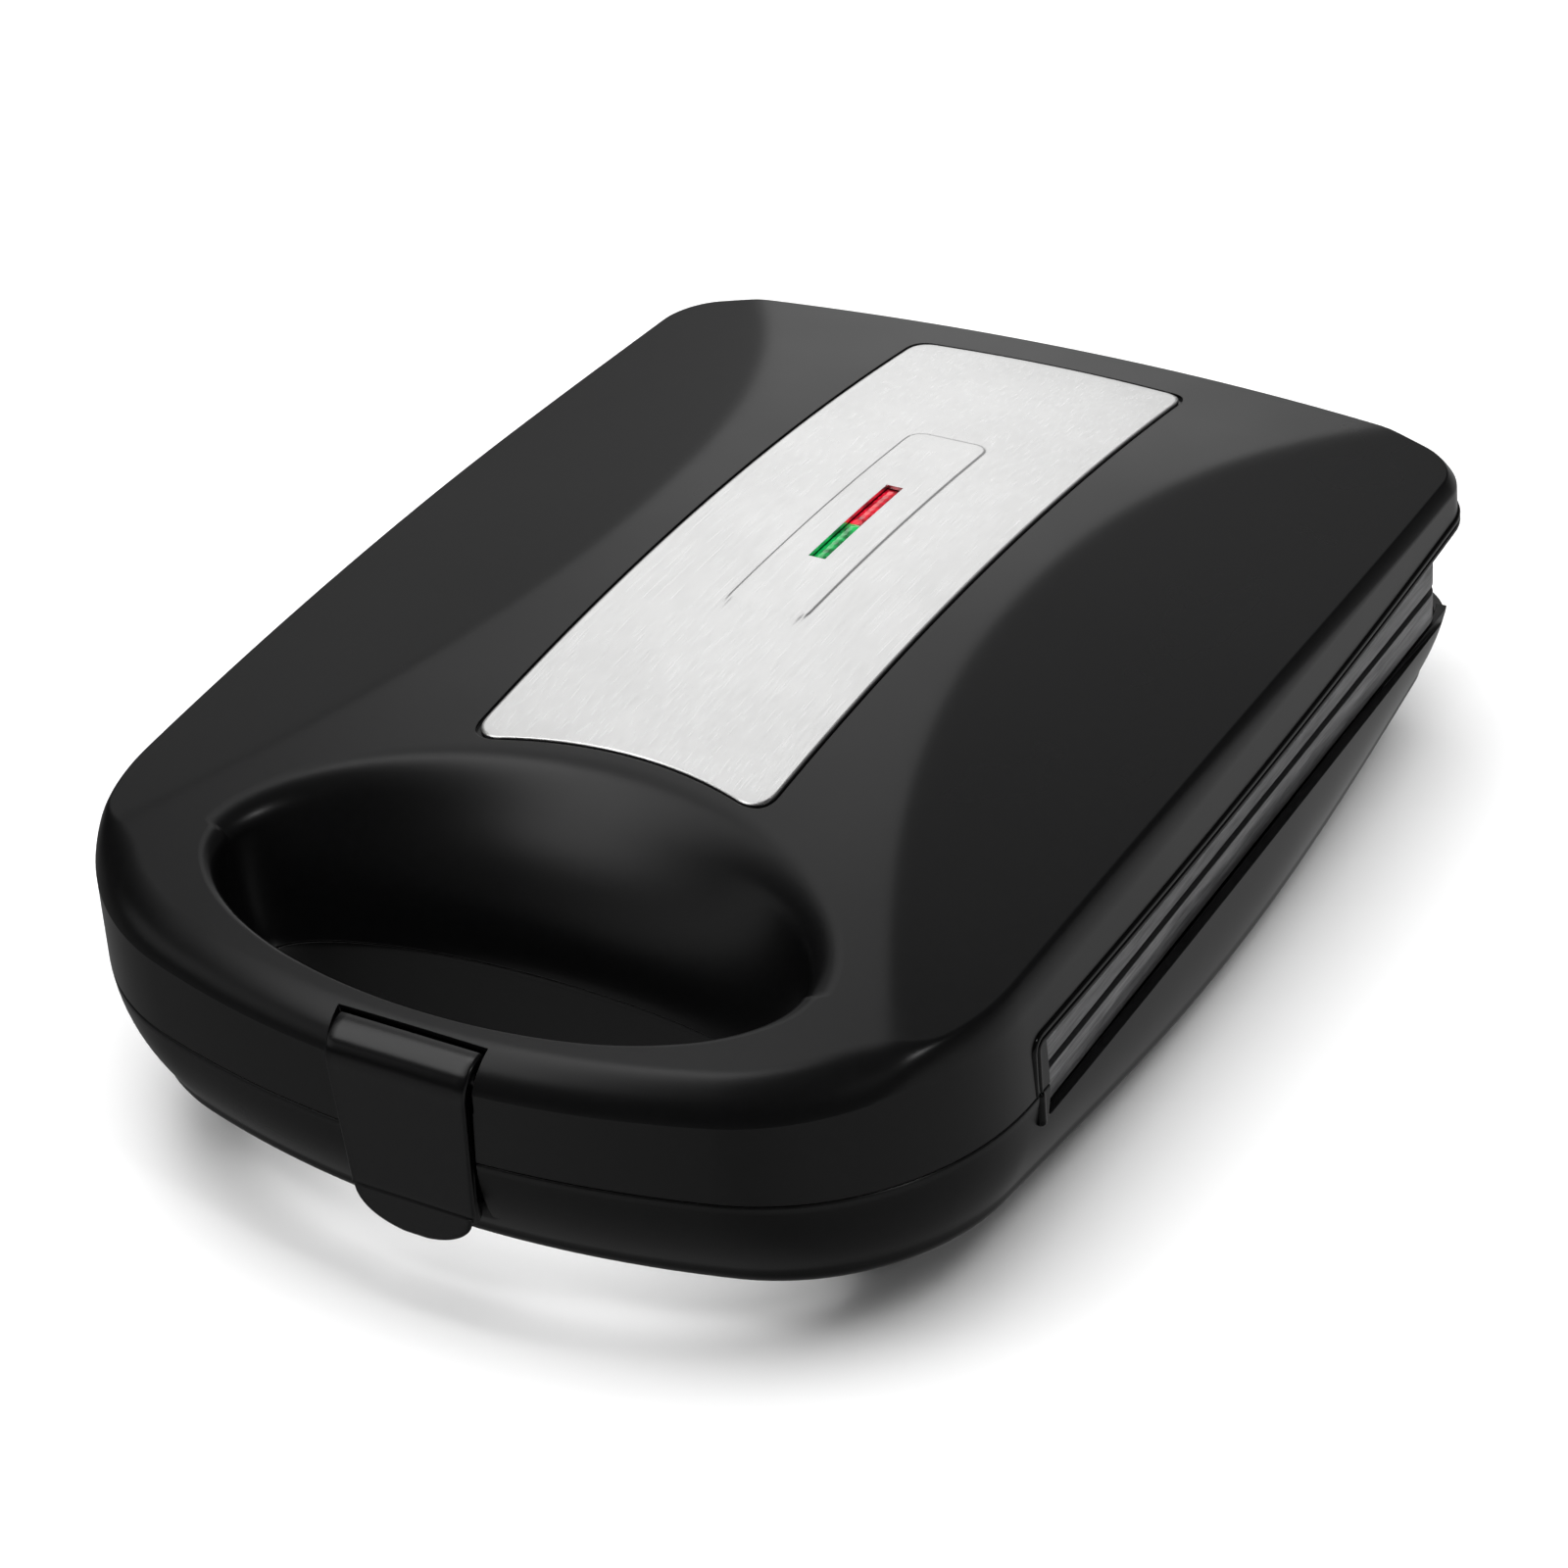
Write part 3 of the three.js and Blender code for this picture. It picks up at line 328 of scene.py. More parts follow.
def lid_rings(thin, foot):
    """Rows of the lid's closed loops: up the hole's wall, over the top, down the outer wall."""
    fine = thin == 0
    rim_z = np.full(len(EDGE), 85.0)
    for _ in range(14):
        rim = hole_wall(rim_z, thin)
        rim_z = lid_z(rim[:, 0], rim[:, 1]) - thin
    rim = hole_wall(rim_z, thin)
    front = 1 - smooth(EDGE[:, 1], -150, -128) if fine else np.zeros(len(EDGE))
    rear = smooth(EDGE[:, 1], -70, 120)
    radii = [np.full(len(EDGE), LID_R - thin)] * 3
    if fine:
        radii = [a + (b - a) * rear for a, b in zip(EDGE_SIDE, EDGE_REAR)]
        radii = [r + (EDGE_FRONT - r) * front for r in radii]
    sweep = pi / 2 - LID_SWEEP_CUT * front
    here, there = EDGE - NORMAL * 8, EDGE - NORMAL * 7
    first = np.arctan(lid_z(here[:, 0], here[:, 1]) - lid_z(there[:, 0], there[:, 1]))

    def rounding(angle):
        """Outward travel and drop from the shoulder when the surface has turned to an angle."""
        out, drop = 0, 0
        for radius, low, high in zip(radii, EDGE_TURNS, EDGE_TURNS[1:]):
            start_turn = np.maximum(low, first)
            end_turn = np.maximum(np.clip(angle, low, high), start_turn)
            out = out + radius * (np.sin(end_turn) - np.sin(start_turn))
            drop = drop + radius * (np.cos(start_turn) - np.cos(end_turn))
        return out, drop

    full_out, full_drop = rounding(sweep)
    wall_end = thin + 0.03 * (lid_z(EDGE[:, 0], EDGE[:, 1]) - full_drop - PARTING)
    shoulder = inset(wall_end + full_out)
    soft = np.where(HEADING[:, 1] > 0, 7.0, 4.5)
    below = hole_wall(rim_z - soft * 0.8, thin)
    run = np.linalg.norm(shoulder - rim[:, :2], axis=1)
    start = rim[:, :2] + (shoulder - rim[:, :2]) * np.minimum(0.3, soft / run)[:, None]
    rows = []
    if fine:
        rows += [hole_wall(foot + (rim_z - soft * 0.8 - foot) * t) for t in np.linspace(0, 1, 22)[:-1]]
        rows += bend(below, rim, with_z(start, lid_z(start[:, 0], start[:, 1])), 9)[:-1]
    else:
        rows += [hole_wall(foot + (rim_z - foot) * t, thin) for t in np.linspace(0, 1, 10)[:-1]]
        start = rim[:, :2]
    for t in np.linspace(0, 1, 120 if fine else 14):
        plan = start + (shoulder - start) * t
        rows.append(with_z(plan, lid_z(plan[:, 0], plan[:, 1]) - thin))
    top = rows[-1][:, 2]
    for share in np.linspace(0, 1, 29 if fine else 5)[1:]:
        out, drop = rounding(first + (sweep - first) * share)
        rows.append(with_z(inset(wall_end + full_out - out), top - drop))
    low = rows[-1][:, 2]
    wall = lambda z: thin + (wall_end - thin) * (z - foot) / (low - foot)
    if fine:
        rows += [with_z(inset(wall(z)), z) for z in (low - 0.25, low - 0.6)]
        last = foot + 0.35
        heights = [low - 0.6 + (last - low + 0.6) * t for t in np.linspace(0.1, 1, 9)]
        rows += [with_z(inset(wall(z)), z) for z in heights]
        rows += [with_z(inset(d), foot + h) for d, h in ((0.06, 0.18), (0.15, 0.06), (0.3, 0.0))]
    else:
        rows.append(with_z(inset(wall(foot)), foot))
    return rows


def base_wall_inset(z, thin):
    """How far the base's leaning wall stands inside the outline at a height."""
    edge_z = keel_z(EDGE[:, 1]) + KEEL_R
    depth = np.clip((PARTING - z) / (PARTING - edge_z), 0, None)
    return thin + 0.8 * depth + 7.2 * depth * depth


def base_rings(thin, head):
    """Rows of the base's closed loops: down the hole's wall, along the underside, up the outer wall."""
    fine = thin == 0
    rim_z = np.full(len(EDGE), 20.0)
    for _ in range(10):
        rim_z = keel_z(hole_wall(rim_z, thin)[:, 1]) + thin
    rim = hole_wall(rim_z, thin)
    radius = KEEL_R - thin
    edge_z = keel_z(EDGE[:, 1]) + KEEL_R
    shoulder = inset(base_wall_inset(edge_z, thin) + radius)
    rows = []
    if fine:
        rows += [hole_wall(head, 0.5), hole_wall(head - 0.15, 0.16), hole_wall(head - 0.5)]
        above = hole_wall(rim_z + 2.2)
        shares = np.linspace(0.06, 1, 16)[:-1]
        rows += [hole_wall(head - 0.5 + (rim_z + 2.2 - head + 0.5) * t) for t in shares]
        run = np.linalg.norm(shoulder - rim[:, :2], axis=1)
        start = rim[:, :2] + (shoulder - rim[:, :2]) * np.minimum(0.3, 2.5 / run)[:, None]
        rows += bend(above, rim, with_z(start, keel_z(start[:, 1])), 6)[:-1]
    else:
        rows += [hole_wall(head + (rim_z - head) * t, thin) for t in np.linspace(0, 1, 8)[:-1]]
        start = rim[:, :2]
    for t in np.linspace(0, 1, 44 if fine else 12):
        plan = start + (shoulder - start) * t
        rows.append(with_z(plan, keel_z(plan[:, 1]) + thin))
    low = rows[-1][:, 2]
    for a in np.linspace(0, pi / 2, 10 if fine else 5)[1:]:
        plan = inset(base_wall_inset(edge_z, thin) + radius * (1 - np.sin(a)))
        rows.append(with_z(plan, low + radius * (1 - np.cos(a))))
    curve = rows[-1][:, 2]
    last = head - 0.5 if fine else head
    for t in np.linspace(0, 1, 14 if fine else 5)[1:]:
        z = curve + (last - curve) * t
        rows.append(with_z(inset(base_wall_inset(z, thin)), z))
    if fine:
        rows += [with_z(inset(d), head - h) for d, h in ((0.09, 0.36), (0.32, 0.1), (0.75, 0.0))]
    return rows


def ring_body(name, rows):
    columns = np.stack(rows, axis=1)
    return make_mesh(name, *skin([list(c) for c in columns], closed=True))


# ---- Cuts both housings share ----
def hollow(rows, z0, z1, corner_x=None):
    """The cavity's body kept only inside the hollow zones, with the rear corners from corner_x outwards."""
    back_x = HINGE_BOX_X - 2.5
    zones = [block(BULK_X, FAR, -FAR, BULK_FRONT, z0, z1), block(-FAR, -BULK_X, -FAR, BULK_FRONT, z0, z1),
             block(-FAR, FAR, BULK_BACK, SIDE_BACK, z0, z1),
             block(-back_x, back_x, HINGE_BULK_Y, FAR, z0, z1)]
    if corner_x:
        zones += [block(a, b, SIDE_BACK - 1, FAR, z0, z1) for a, b in both(corner_x, FAR)]
    whole = boolean(zones[0], zones[1:], "UNION")
    return boolean(ring_body("cavity", rows), [whole], "INTERSECT")


def lid_opening(z0, z1):
    """The lid's side openings, running on behind the plates to the hinge box."""
    plan = [(SIDE_X, SIDE_FRONT), (FAR, SIDE_FRONT), (FAR, FAR)]
    plan += [(HINGE_BOX_X, FAR), (HINGE_BOX_X, SIDE_BACK), (SIDE_X, SIDE_BACK)]
    return [prism(plan, z0, z1), prism([(-x, y) for x, y in plan], z0, z1)]


def lip_z(y):
    """Height of the base's side lip: bowed, lower towards both ends."""
    past = np.asarray(y, float) - LIP_MIDDLE
    (front, front_run), (back, back_run) = LIP_FRONT, LIP_BACK
    front = front * np.clip(-past / front_run, 0, 1) ** 2
    back = back * np.clip(past / back_run, 0, None) ** 2.2
    return BASE_LIP - front - back


def lip_cut(inner, y0, y1, ease):
    """Both sides' cuts from above down to the lip, outwards from inner, the front corner eased."""
    ys = np.linspace(y0 + ease, y1, 40)
    turns = np.linspace(0, 1.4, 7) if ease else []
    corner = [(y0 + ease * (1 - cos(a)), lip_z(y0) + ease * (1 - sin(a))) for a in turns]
    profile = corner + list(zip(ys, lip_z(ys))) + [(y1, FAR), (y0, FAR)]
    sides = [[[(sign * x, y, z) for y, z in profile] for x in (inner, FAR)] for sign in (1, -1)]
    return [make_mesh("tool", *skin(rings)) for rings in sides]


def base_opening():
    """The base's side openings, beside the plates and behind them."""
    beside = lip_cut(SIDE_X, SIDE_FRONT, SIDE_BACK + 0.1, LIP_EASE)
    return beside + lip_cut(HINGE_BOX_X, SIDE_BACK, FAR / 1.4, 0)


def plate_bay():
    """The room that the two plates take up."""
    low, high = PARTING - LOWER_RIM - 1, PARTING + UPPER_RIM + 1
    return block(-SIDE_X, SIDE_X, BULK_BACK, SIDE_BACK, low, high)


def latch_half(z, extra=0.0):
    """Half the latch's width at a height: it tapers downwards."""
    taper = (LATCH_TOP - LATCH_LOW) / (LATCH_Z + LATCH_R + 1 - LATCH_FACE)
    return LATCH_LOW + extra + taper * (z - LATCH_FACE)


def notch(y):
    """The latch's tapered slot, cut from the front back to y."""
    corners = [(s * latch_half(z, NOTCH_SIDE), z) for s, z in ((1, 0), (1, 110), (-1, 110), (-1, 0))]
    return make_mesh("tool", *skin([[(x, yy, z) for x, z in corners] for yy in (-FAR, y)]))


def both(a, b):
    return [(a, b), (-b, -a)]


SCREWS = [(sx * RING_PITCH / 2, RING_Y + sy * SCREW_STEP) for sx in (-1, 1) for sy in (-1, 1)]
FEET = [(sx * FOOT_X, y) for sx in (-1, 1) for y in FOOT_YS]


# ---- The trim panel's plan ----
def panel_edges(grow):
    """Front and back edges of the plan as polylines in growing x."""
    x, y0, y1, r = PANEL_X + grow, PANEL_FRONT - grow, PANEL_BACK + grow, PANEL_CORNER
    edges = []
    for y, start, inward, bow in ((y0, y0 + 1, r, PANEL_BOW[0]), (y1, y1, -r, PANEL_BOW[1])):
        edge = bend((-x, y + inward), (-x, y), (-x + r, start), 14)
        edge += bend((-x + r, start), (0, y + 2 * bow), (x - r, start), 40)
        edge += bend((x - r, start), (x, y), (x, y + inward), 14)
        edges.append(np.array(edge))
    return edges


def panel_plan(grow, us, vs):
    """Plan points for shares us of the half width and vs from front to back."""
    front, back = panel_edges(grow)
    x = us * (PANEL_X + grow)
    y0, y1 = np.interp(x, front[:, 0], front[:, 1]), np.interp(x, back[:, 0], back[:, 1])
    y = y0[:, None] + (y1 - y0)[:, None] * vs[None]
    return np.stack((np.broadcast_to(x[:, None], y.shape), y), axis=2)


def slab(name, plans, heights):
    """A closed slab from a grid plan and a height function for each level."""
    nu, nv = plans[0].shape[:2]
    loop = ([(i, 0) for i in range(nu)] + [(nu - 1, j) for j in range(1, nv)]
            + [(i, nv - 1) for i in range(nu - 2, -1, -1)] + [(0, j) for j in range(nv - 2, 0, -1)])
    verts, faces, loops = [], [], []
    for which in (0, len(plans) - 1):
        plan, first = plans[which], len(verts)
        verts += list(np.dstack((plan, heights[which](plan[..., 0], plan[..., 1]))).reshape(-1, 3))
        for i in range(nu - 1):
            for j in range(nv - 1):
                near, far = first + i * nv + j, first + (i + 1) * nv + j
                q = [near, far, far + 1, near + 1]
                faces.append(q if which == 0 else q[::-1])
        loops.append([first + i * nv + j for i, j in loop])
    middle = []
    for plan, height in zip(plans[1:-1], heights[1:-1]):
        first = len(verts)
        verts += [(*plan[i, j], float(height(*plan[i, j]))) for i, j in loop]
        middle.append(list(range(first, first + len(loop))))
    chain = [loops[0], *middle, loops[1]]
    for a, b in zip(chain, chain[1:]):
        for k in range(len(a)):
            m = (k + 1) % len(a)
            faces.append((a[m], a[k], b[k], b[m]))
    return make_mesh(name, verts, faces)


def arch_plus(offset):
    return lambda x, y: arch_z(y) + offset


# ---- Materials ----
def feed(node, values):
    """Set a node's inputs, or link those whose value is another node's output."""
    for key, value in values.items():
        if isinstance(value, bpy.types.NodeSocket):
            node.id_data.links.new(value, node.inputs[key])
        else:
            node.inputs[key].default_value = value


def added(tree, kind, values):
    node = tree.nodes.new("ShaderNode" + kind)
    feed(node, values)
    return node


def shader(name, metal=0.0, rough=0.5, specular=0.5):
    mat = bpy.data.materials.new(name)
    mat.use_nodes = True
    tree = mat.node_tree
    main = tree.nodes["Principled BSDF"]
    feed(main, {"Metallic": metal, "Roughness": rough, "Specular IOR Level": specular})
    return mat, tree, main


def place(tree, scale=(1, 1, 1)):
    """Object coordinates in metres, stretched by scale."""
    where = added(tree, "TexCoord", {}).outputs["Object"]
    return added(tree, "Mapping", {"Scale": scale, "Vector": where}).outputs["Vector"]


def axis_parts(tree, kind):
    """The X, Y and Z outputs of a texture coordinate."""
    return added(tree, "SeparateXYZ", {0: added(tree, "TexCoord", {}).outputs[kind]}).outputs


def noise(tree, vector, scale, detail=3.0, rough=0.55):
    values = {"Scale": scale, "Detail": detail, "Roughness": rough, "Vector": vector}
    return added(tree, "TexNoise", values).outputs["Fac"]


def spread(tree, value, low, high, start=0.3, end=0.7):
    """A value's range from start to end turned into low to high."""
    values = {"From Min": start, "From Max": end, "To Min": low, "To Max": high, "Value": value}
    return added(tree, "MapRange", values).outputs["Result"]


def ramp(tree, value, levels):
    """A colour for a value from pairs of position and colour."""
    node = added(tree, "ValToRGB", {"Fac": value})
    elements = node.color_ramp.elements
    while len(elements) < len(levels):
        elements.new(1.0)
    for element, (at, tone) in zip(elements, levels):
        element.position, element.color = at, (*tone, 1)
    return node.outputs["Color"]


def two_tones(tree, value, dark, light, start=0.3, end=0.7):
    return ramp(tree, value, [(start, dark), (end, light)])


def mixed(tree, share, first, second):
    """Two colours mixed by a share; each may be a socket or a plain value."""
    node = added(tree, "Mix", {})
    node.data_type = "RGBA"
    feed(node, {"Factor": share, 6: first, 7: second})
    return node.outputs[2]


def worked_out(tree, operation, *values):
    node = added(tree, "Math", dict(enumerate(values)))
    node.operation = operation
    return node.outputs[0]


def rounded_normal(tree, radius):
    node = added(tree, "Bevel", {"Radius": radius * MM})
    node.samples = 4
    return node.outputs["Normal"]


def bump(tree, main, height, distance, edge=None):
    values = {"Strength": 1, "Distance": distance * MM, "Height": height}
    if edge:
        values["Normal"] = rounded_normal(tree, edge)
    feed(main, {"Normal": added(tree, "Bump", values).outputs["Normal"]})


def edge_mask(tree, radius):
    """1 on sharp edges and 0 elsewhere, from how a rounded normal leaves the true one."""
    true_normal = added(tree, "NewGeometry", {}).outputs["Normal"]
    dot = added(tree, "VectorMath", {0: rounded_normal(tree, radius), 1: true_normal})
    dot.operation = "DOT_PRODUCT"
    return spread(tree, dot.outputs["Value"], 1.0, 0.0, 0.75, 0.99)


def moulded(name, tone, rough, grain=0.006, specular=0.5, edge=0.35, edge_highlight_tone=(0.05, 0.05, 0.05)):
    """Moulded plastic: a fine spark-eroded grain, slow gloss changes, and a painted highlight that makes
    sharp edges a little paler.
    """
    mat, tree, main = shader(name, rough=rough, specular=specular)
    at = place(tree)
    slow, fine, dust = noise(tree, at, 14), noise(tree, at, 2600, 2), noise(tree, at, 420, 4)
    body = two_tones(tree, dust, [c * 0.88 for c in tone], [c * 1.15 for c in tone])
    # painted highlight: sharp edges mixed towards a paler tone, standing in for the light they catch
    edge_highlight_share = spread(tree, edge_mask(tree, edge), 0, 0.7, 0, 1)
    feed(main, {"Base Color": (*tone, 1)})
    feed(main, {"Base Color": mixed(tree, edge_highlight_share, body, (*edge_highlight_tone, 1)),
                "Roughness": spread(tree, slow, rough * 0.92, rough * 1.1)})
    bump(tree, main, fine, grain, edge)
    return mat


def brushed(name, tone, rough, scale, line=2200, depth=0.0015):
    """Brushed sheet: lines along the axis with the small scale, and faint cloudy patches."""
    mat, tree, main = shader(name, metal=1, rough=rough)
    at, lines_at = place(tree), place(tree, scale)
    lines, cloud = noise(tree, lines_at, line, 4, 0.7), noise(tree, at, 38, 4)
    pale = [min(1, c * 1.06) for c in tone]
    first = two_tones(tree, cloud, [c * 0.94 for c in tone], pale)
    second = two_tones(tree, lines, [c * 0.93 for c in tone], pale, 0.25, 0.75)
    feed(main, {"Base Color": mixed(tree, 0.5, first, second),
                "Roughness": spread(tree, lines, rough * 0.85, rough * 1.2)})
    bump(tree, main, lines, depth, 0.15)
    return mat


def speckled(name, tone, rough, scale, contrast, metal=0.0, depth=0.01, specular=0.5):
    """Cast or fired surface: two sizes of grain in colour, gloss and height."""
    mat, tree, main = shader(name, metal, rough, specular)
    at = place(tree)
    fine, broad = noise(tree, at, scale, 5, 0.65), noise(tree, at, 25, 3)
    dark, light = ([min(1, c * (1 + s * contrast)) for c in tone] for s in (-1, 1))
    feed(main, {"Base Color": two_tones(tree, fine, dark, light),
                "Roughness": spread(tree, broad, rough * 0.88, rough * 1.15)})
    bump(tree, main, fine, depth, 0.3)
    return mat


def tinted(name, tone, glow):
    """Tinted clear plastic over a bright holder, with painted highlights and painted glow: noise patches
    stand in for facets catching the light unevenly.
    """
    mat, tree, main = shader(name, rough=0.12)
    at = place(tree)
    highlight_patches = noise(tree, at, 260, 3, 0.6)
    deep, faint = [c * 0.25 for c in tone], [c * 0.12 for c in glow]
    # painted highlight and painted glow: the patches lighten the colour and drive the emission
    feed(main, {"Base Color": two_tones(tree, highlight_patches, deep, tone, 0.35, 0.62),
                "Emission Color": two_tones(tree, highlight_patches, faint, glow, 0.38, 0.68),
                "Emission Strength": 0.35, "Coat Weight": 0.6, "Coat Roughness": 0.03})
    bump(tree, main, noise(tree, at, 500, 2), 0.08)
    return mat


def coated_plate():
    """Dark coating on the faces, bare brushed metal on the upright edges."""
    mat, tree, main = shader("plate_coating", metal=0.3)
    at, lines_at = place(tree), place(tree, (1, 0.05, 1))
    lines, grain, cloud = noise(tree, lines_at, 1300, 4, 0.75), noise(tree, at, 900, 4), noise(tree, at, 45)
    upright = worked_out(tree, "ABSOLUTE", axis_parts(tree, "Normal")["Z"])
    facing = spread(tree, upright, 0, 1, 0.15, 0.5)
    bare = two_tones(tree, lines, (0.05, 0.05, 0.052), (0.19, 0.19, 0.193))
    coat = two_tones(tree, grain, (0.022, 0.022, 0.023), (0.034, 0.034, 0.035))
    feed(main, {"Base Color": mixed(tree, facing, bare, coat), "Roughness": spread(tree, cloud, 0.34, 0.44)})
    bump(tree, main, lines, 0.01, 0.3)
    return mat


def clear_glass():
    mat, tree, main = shader("lamp_glass", rough=0.05)
    tone = two_tones(tree, noise(tree, place(tree), 300), (0.85, 0.7, 0.55), (0.95, 0.88, 0.8))
    feed(main, {"Transmission Weight": 0.9, "Base Color": tone})
    return mat


# Looks of pieces: a material and the slot it stands for.
# moulded() paints a paler highlight on sharp edges; the bead keeps the tone for it near its own black
HOUSING = moulded("housing_black", (0.0018, 0.0018, 0.0019), 0.29, specular=0.33), "housing_black"
GLOSS = moulded("latch_gloss", (0.0014, 0.0014, 0.0015), 0.22, 0.003, specular=0.38, edge=0.3), "latch_gloss"
BEAD = moulded("bead_gloss", (0.001, 0.001, 0.001), 0.1, 0.002, 0.22, 0.1, (0.002,) * 3), "housing_black"
STEEL = brushed("trim_steel", (0.80, 0.80, 0.795), 0.30, (1, 0.03, 1), depth=0.0008), "trim_steel"
CAST = coated_plate(), "plate_coating"
ZINC = brushed("fastener_steel", (0.50, 0.50, 0.51), 0.34, (0.1, 1, 1), line=1600), "fastener_steel"
RUBBER = speckled("rubber_black", (0.016, 0.016, 0.016), 0.78, 1400, 0.25, 0.0, 0.02, 0.3), "rubber_black"
GREEN = tinted("lens_green", (0.0, 0.22, 0.05), (0.0, 0.75, 0.12)), "lens_green"
RED = tinted("lens_red", (0.55, 0.0, 0.015), (0.95, 0.0, 0.03)), "lens_red"

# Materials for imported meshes.
HEATER = speckled("heater_steel", (0.34, 0.30, 0.26), 0.45, 300, 0.35, metal=1)
SHEET = brushed("reflector_sheet", (0.68, 0.68, 0.68), 0.28, (1, 0.05, 1))
CERAMIC = speckled("ceramic_white", (0.72, 0.69, 0.62), 0.6, 900, 0.05)
GLASS = clear_glass()


# ---- Pieces ----
def finish(piece, body, look, replaced=(), angle=32):
    mat, slot = look
    piece.data.materials.clear()
    piece.data.materials.append(mat)
    piece.data.shade_smooth()
    piece.data.set_sharp_from_angle(angle=radians(angle))
    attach(piece, body)
    if replaced:
        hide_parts(*replaced)


def knuckle_tools(ranges, extra, wider):
    spans = [span for pair in ranges for span in both(*pair)]
    return [rod(HINGE_R + wider, a - extra, b + extra, HINGE_Y, PARTING) for a, b in spans]


BASE_KNUCKLES = [(KNUCKLES[0], KNUCKLES[1] - GAP), (KNUCKLES[2] + GAP, KNUCKLES[3])]
LID_KNUCKLES = [(KNUCKLES[1], KNUCKLES[2])]


def knuckle_piece(name, a, b, z0, z1):
    """A rounded knuckle with its arm, bored for the pin."""
    r, e = HINGE_R, 0.6
    profile = [(r - e, a), (r - 0.2, a + 0.2), (r, a + e), (r, b - e), (r - 0.2, b - 0.2), (r - e, b)]
    barrel = lathe(name, profile, (0, HINGE_Y, PARTING), "X", 72)
    arm = soft_block(a + 0.05, b - 0.05, HINGE_Y - 11, HINGE_Y, z0, z1, 0.7)
    boolean(barrel, [arm], "UNION")
    return boolean(barrel, [rod(PIN_R + GAP, a - 1, b + 1, HINGE_Y, PARTING)])


def make_knuckles(body, ranges, z0, z1):
    for n, (low, high) in enumerate(ranges):
        for side, (a, b) in zip(("right", "left"), both(low, high)):
            made = knuckle_piece(f"{body}_knuckle_{side}_{n + 1}", a, b, z0, z1)
            finish(made, body, HOUSING)


def lid_shell():
    foot = PARTING + GAP / 2
    lid = ring_body("lid_shell", lid_rings(0, foot))
    cavity = hollow(lid_rings(WALL, PARTING - 5), PARTING - 10, 110)
    us, vs = np.sin(np.linspace(-1, 1, 61) * pi / 2), np.linspace(0, 1, 91)
    plans = [panel_plan(PANEL_GROOVE, us, vs)] * 2
    recess = slab("tool", plans, [arch_plus(6), arch_plus(-0.9)])
    window = block(-WINDOW_X - GAP, WINDOW_X + GAP, WINDOW_FRONT - GAP, WINDOW_BACK + GAP, 80, 100)
    screws = [t for x, y in SCREWS for t in
              (post(HEAD_BORE, x, y, arch_z(y) - 5, 110), post(SHANK_BORE, x, y, PARTING, 110))]
    columns = [post(COLUMN_R, x, y, PARTING + COLUMN_END, 94.1) for x, y in SCREWS]
    boolean(lid, [cavity, plate_bay(), *lid_opening(PARTING - 10, LID_SKIRT)])
    boolean(lid, columns, "UNION")
    knuckles = knuckle_tools(BASE_KNUCKLES, GAP, 0.5) + knuckle_tools(LID_KNUCKLES, 0.2, 0.2)
    half, bore_end = latch_half(LATCH_Z, NOTCH_SIDE), LATCH_PIN_END + GAP
    slot = [notch(NOTCH_LID_Y), rod(LATCH_BORE, -bore_end, bore_end, LATCH_Y, LATCH_Z),
            rod(NOTCH_R, -half, half, LATCH_Y, LATCH_Z)]
    boolean(lid, [*knuckles, recess, window, *screws, *slot])
    finish(lid, "lid", HOUSING, ["lid_housing"], 17)


def leg(x, y):
    """A socket for a rubber foot, flared where it meets the underside."""
    z = keel_z(y)
    flare = [(11, z - 2.4), (11.5, z - 1), (12.6, z + 0.1), (12.6, z + 2)]
    return lathe("tool", [(9.8, 2.5), (10.6, 2.8), (11, 3.6)] + flare, (x, y, 0))


def base_shell():
    head = PARTING - GAP / 2
    trace(BASE_CORNER_R)
    base = ring_body("base_shell", base_rings(0, head))
    cavity = hollow(base_rings(WALL, head + 5), 0, head + 10, HINGE_BOX_X + 3)
    trace(LID_CORNER_R)
    boolean(base, [cavity, plate_bay(), *base_opening()])
    column_top = PARTING - COLUMN_END
    columns = [post(COLUMN_R, x, y, 9, column_top) for x, y in SCREWS]
    legs = [leg(x, y) for x, y in FEET]
    pad = soft_block(-13, 13, 158, GLAND_Y, GLAND_Z - 11, GLAND_Z + 11, 1.2)
    ledge = block(-12, 12, LEDGE_Y, NOTCH_BASE_Y + 1, 41.5, 46)
    boolean(base, [notch(NOTCH_BASE_Y)])
    boolean(base, [ledge, *columns, *legs, pad], "UNION")
    screws = [t for x, y in SCREWS for t in
              (post(HEAD_BORE, x, y, 0, 13), post(SHANK_BORE, x, y, 0, column_top + 5))]
    stems = [post(3.3, x, y, 0, 8.2, sides=32) for x, y in FEET]
    gland = lathe("tool", [(6.3, 153), (6.3, 175)], (0, 0, GLAND_Z), "Y")
    knuckles = knuckle_tools(LID_KNUCKLES, GAP, 0.5) + knuckle_tools(BASE_KNUCKLES, 0.2, 0.2)
    boolean(base, [*knuckles, *screws, *stems, gland])
    finish(base, "base", HOUSING, ["base_housing"])


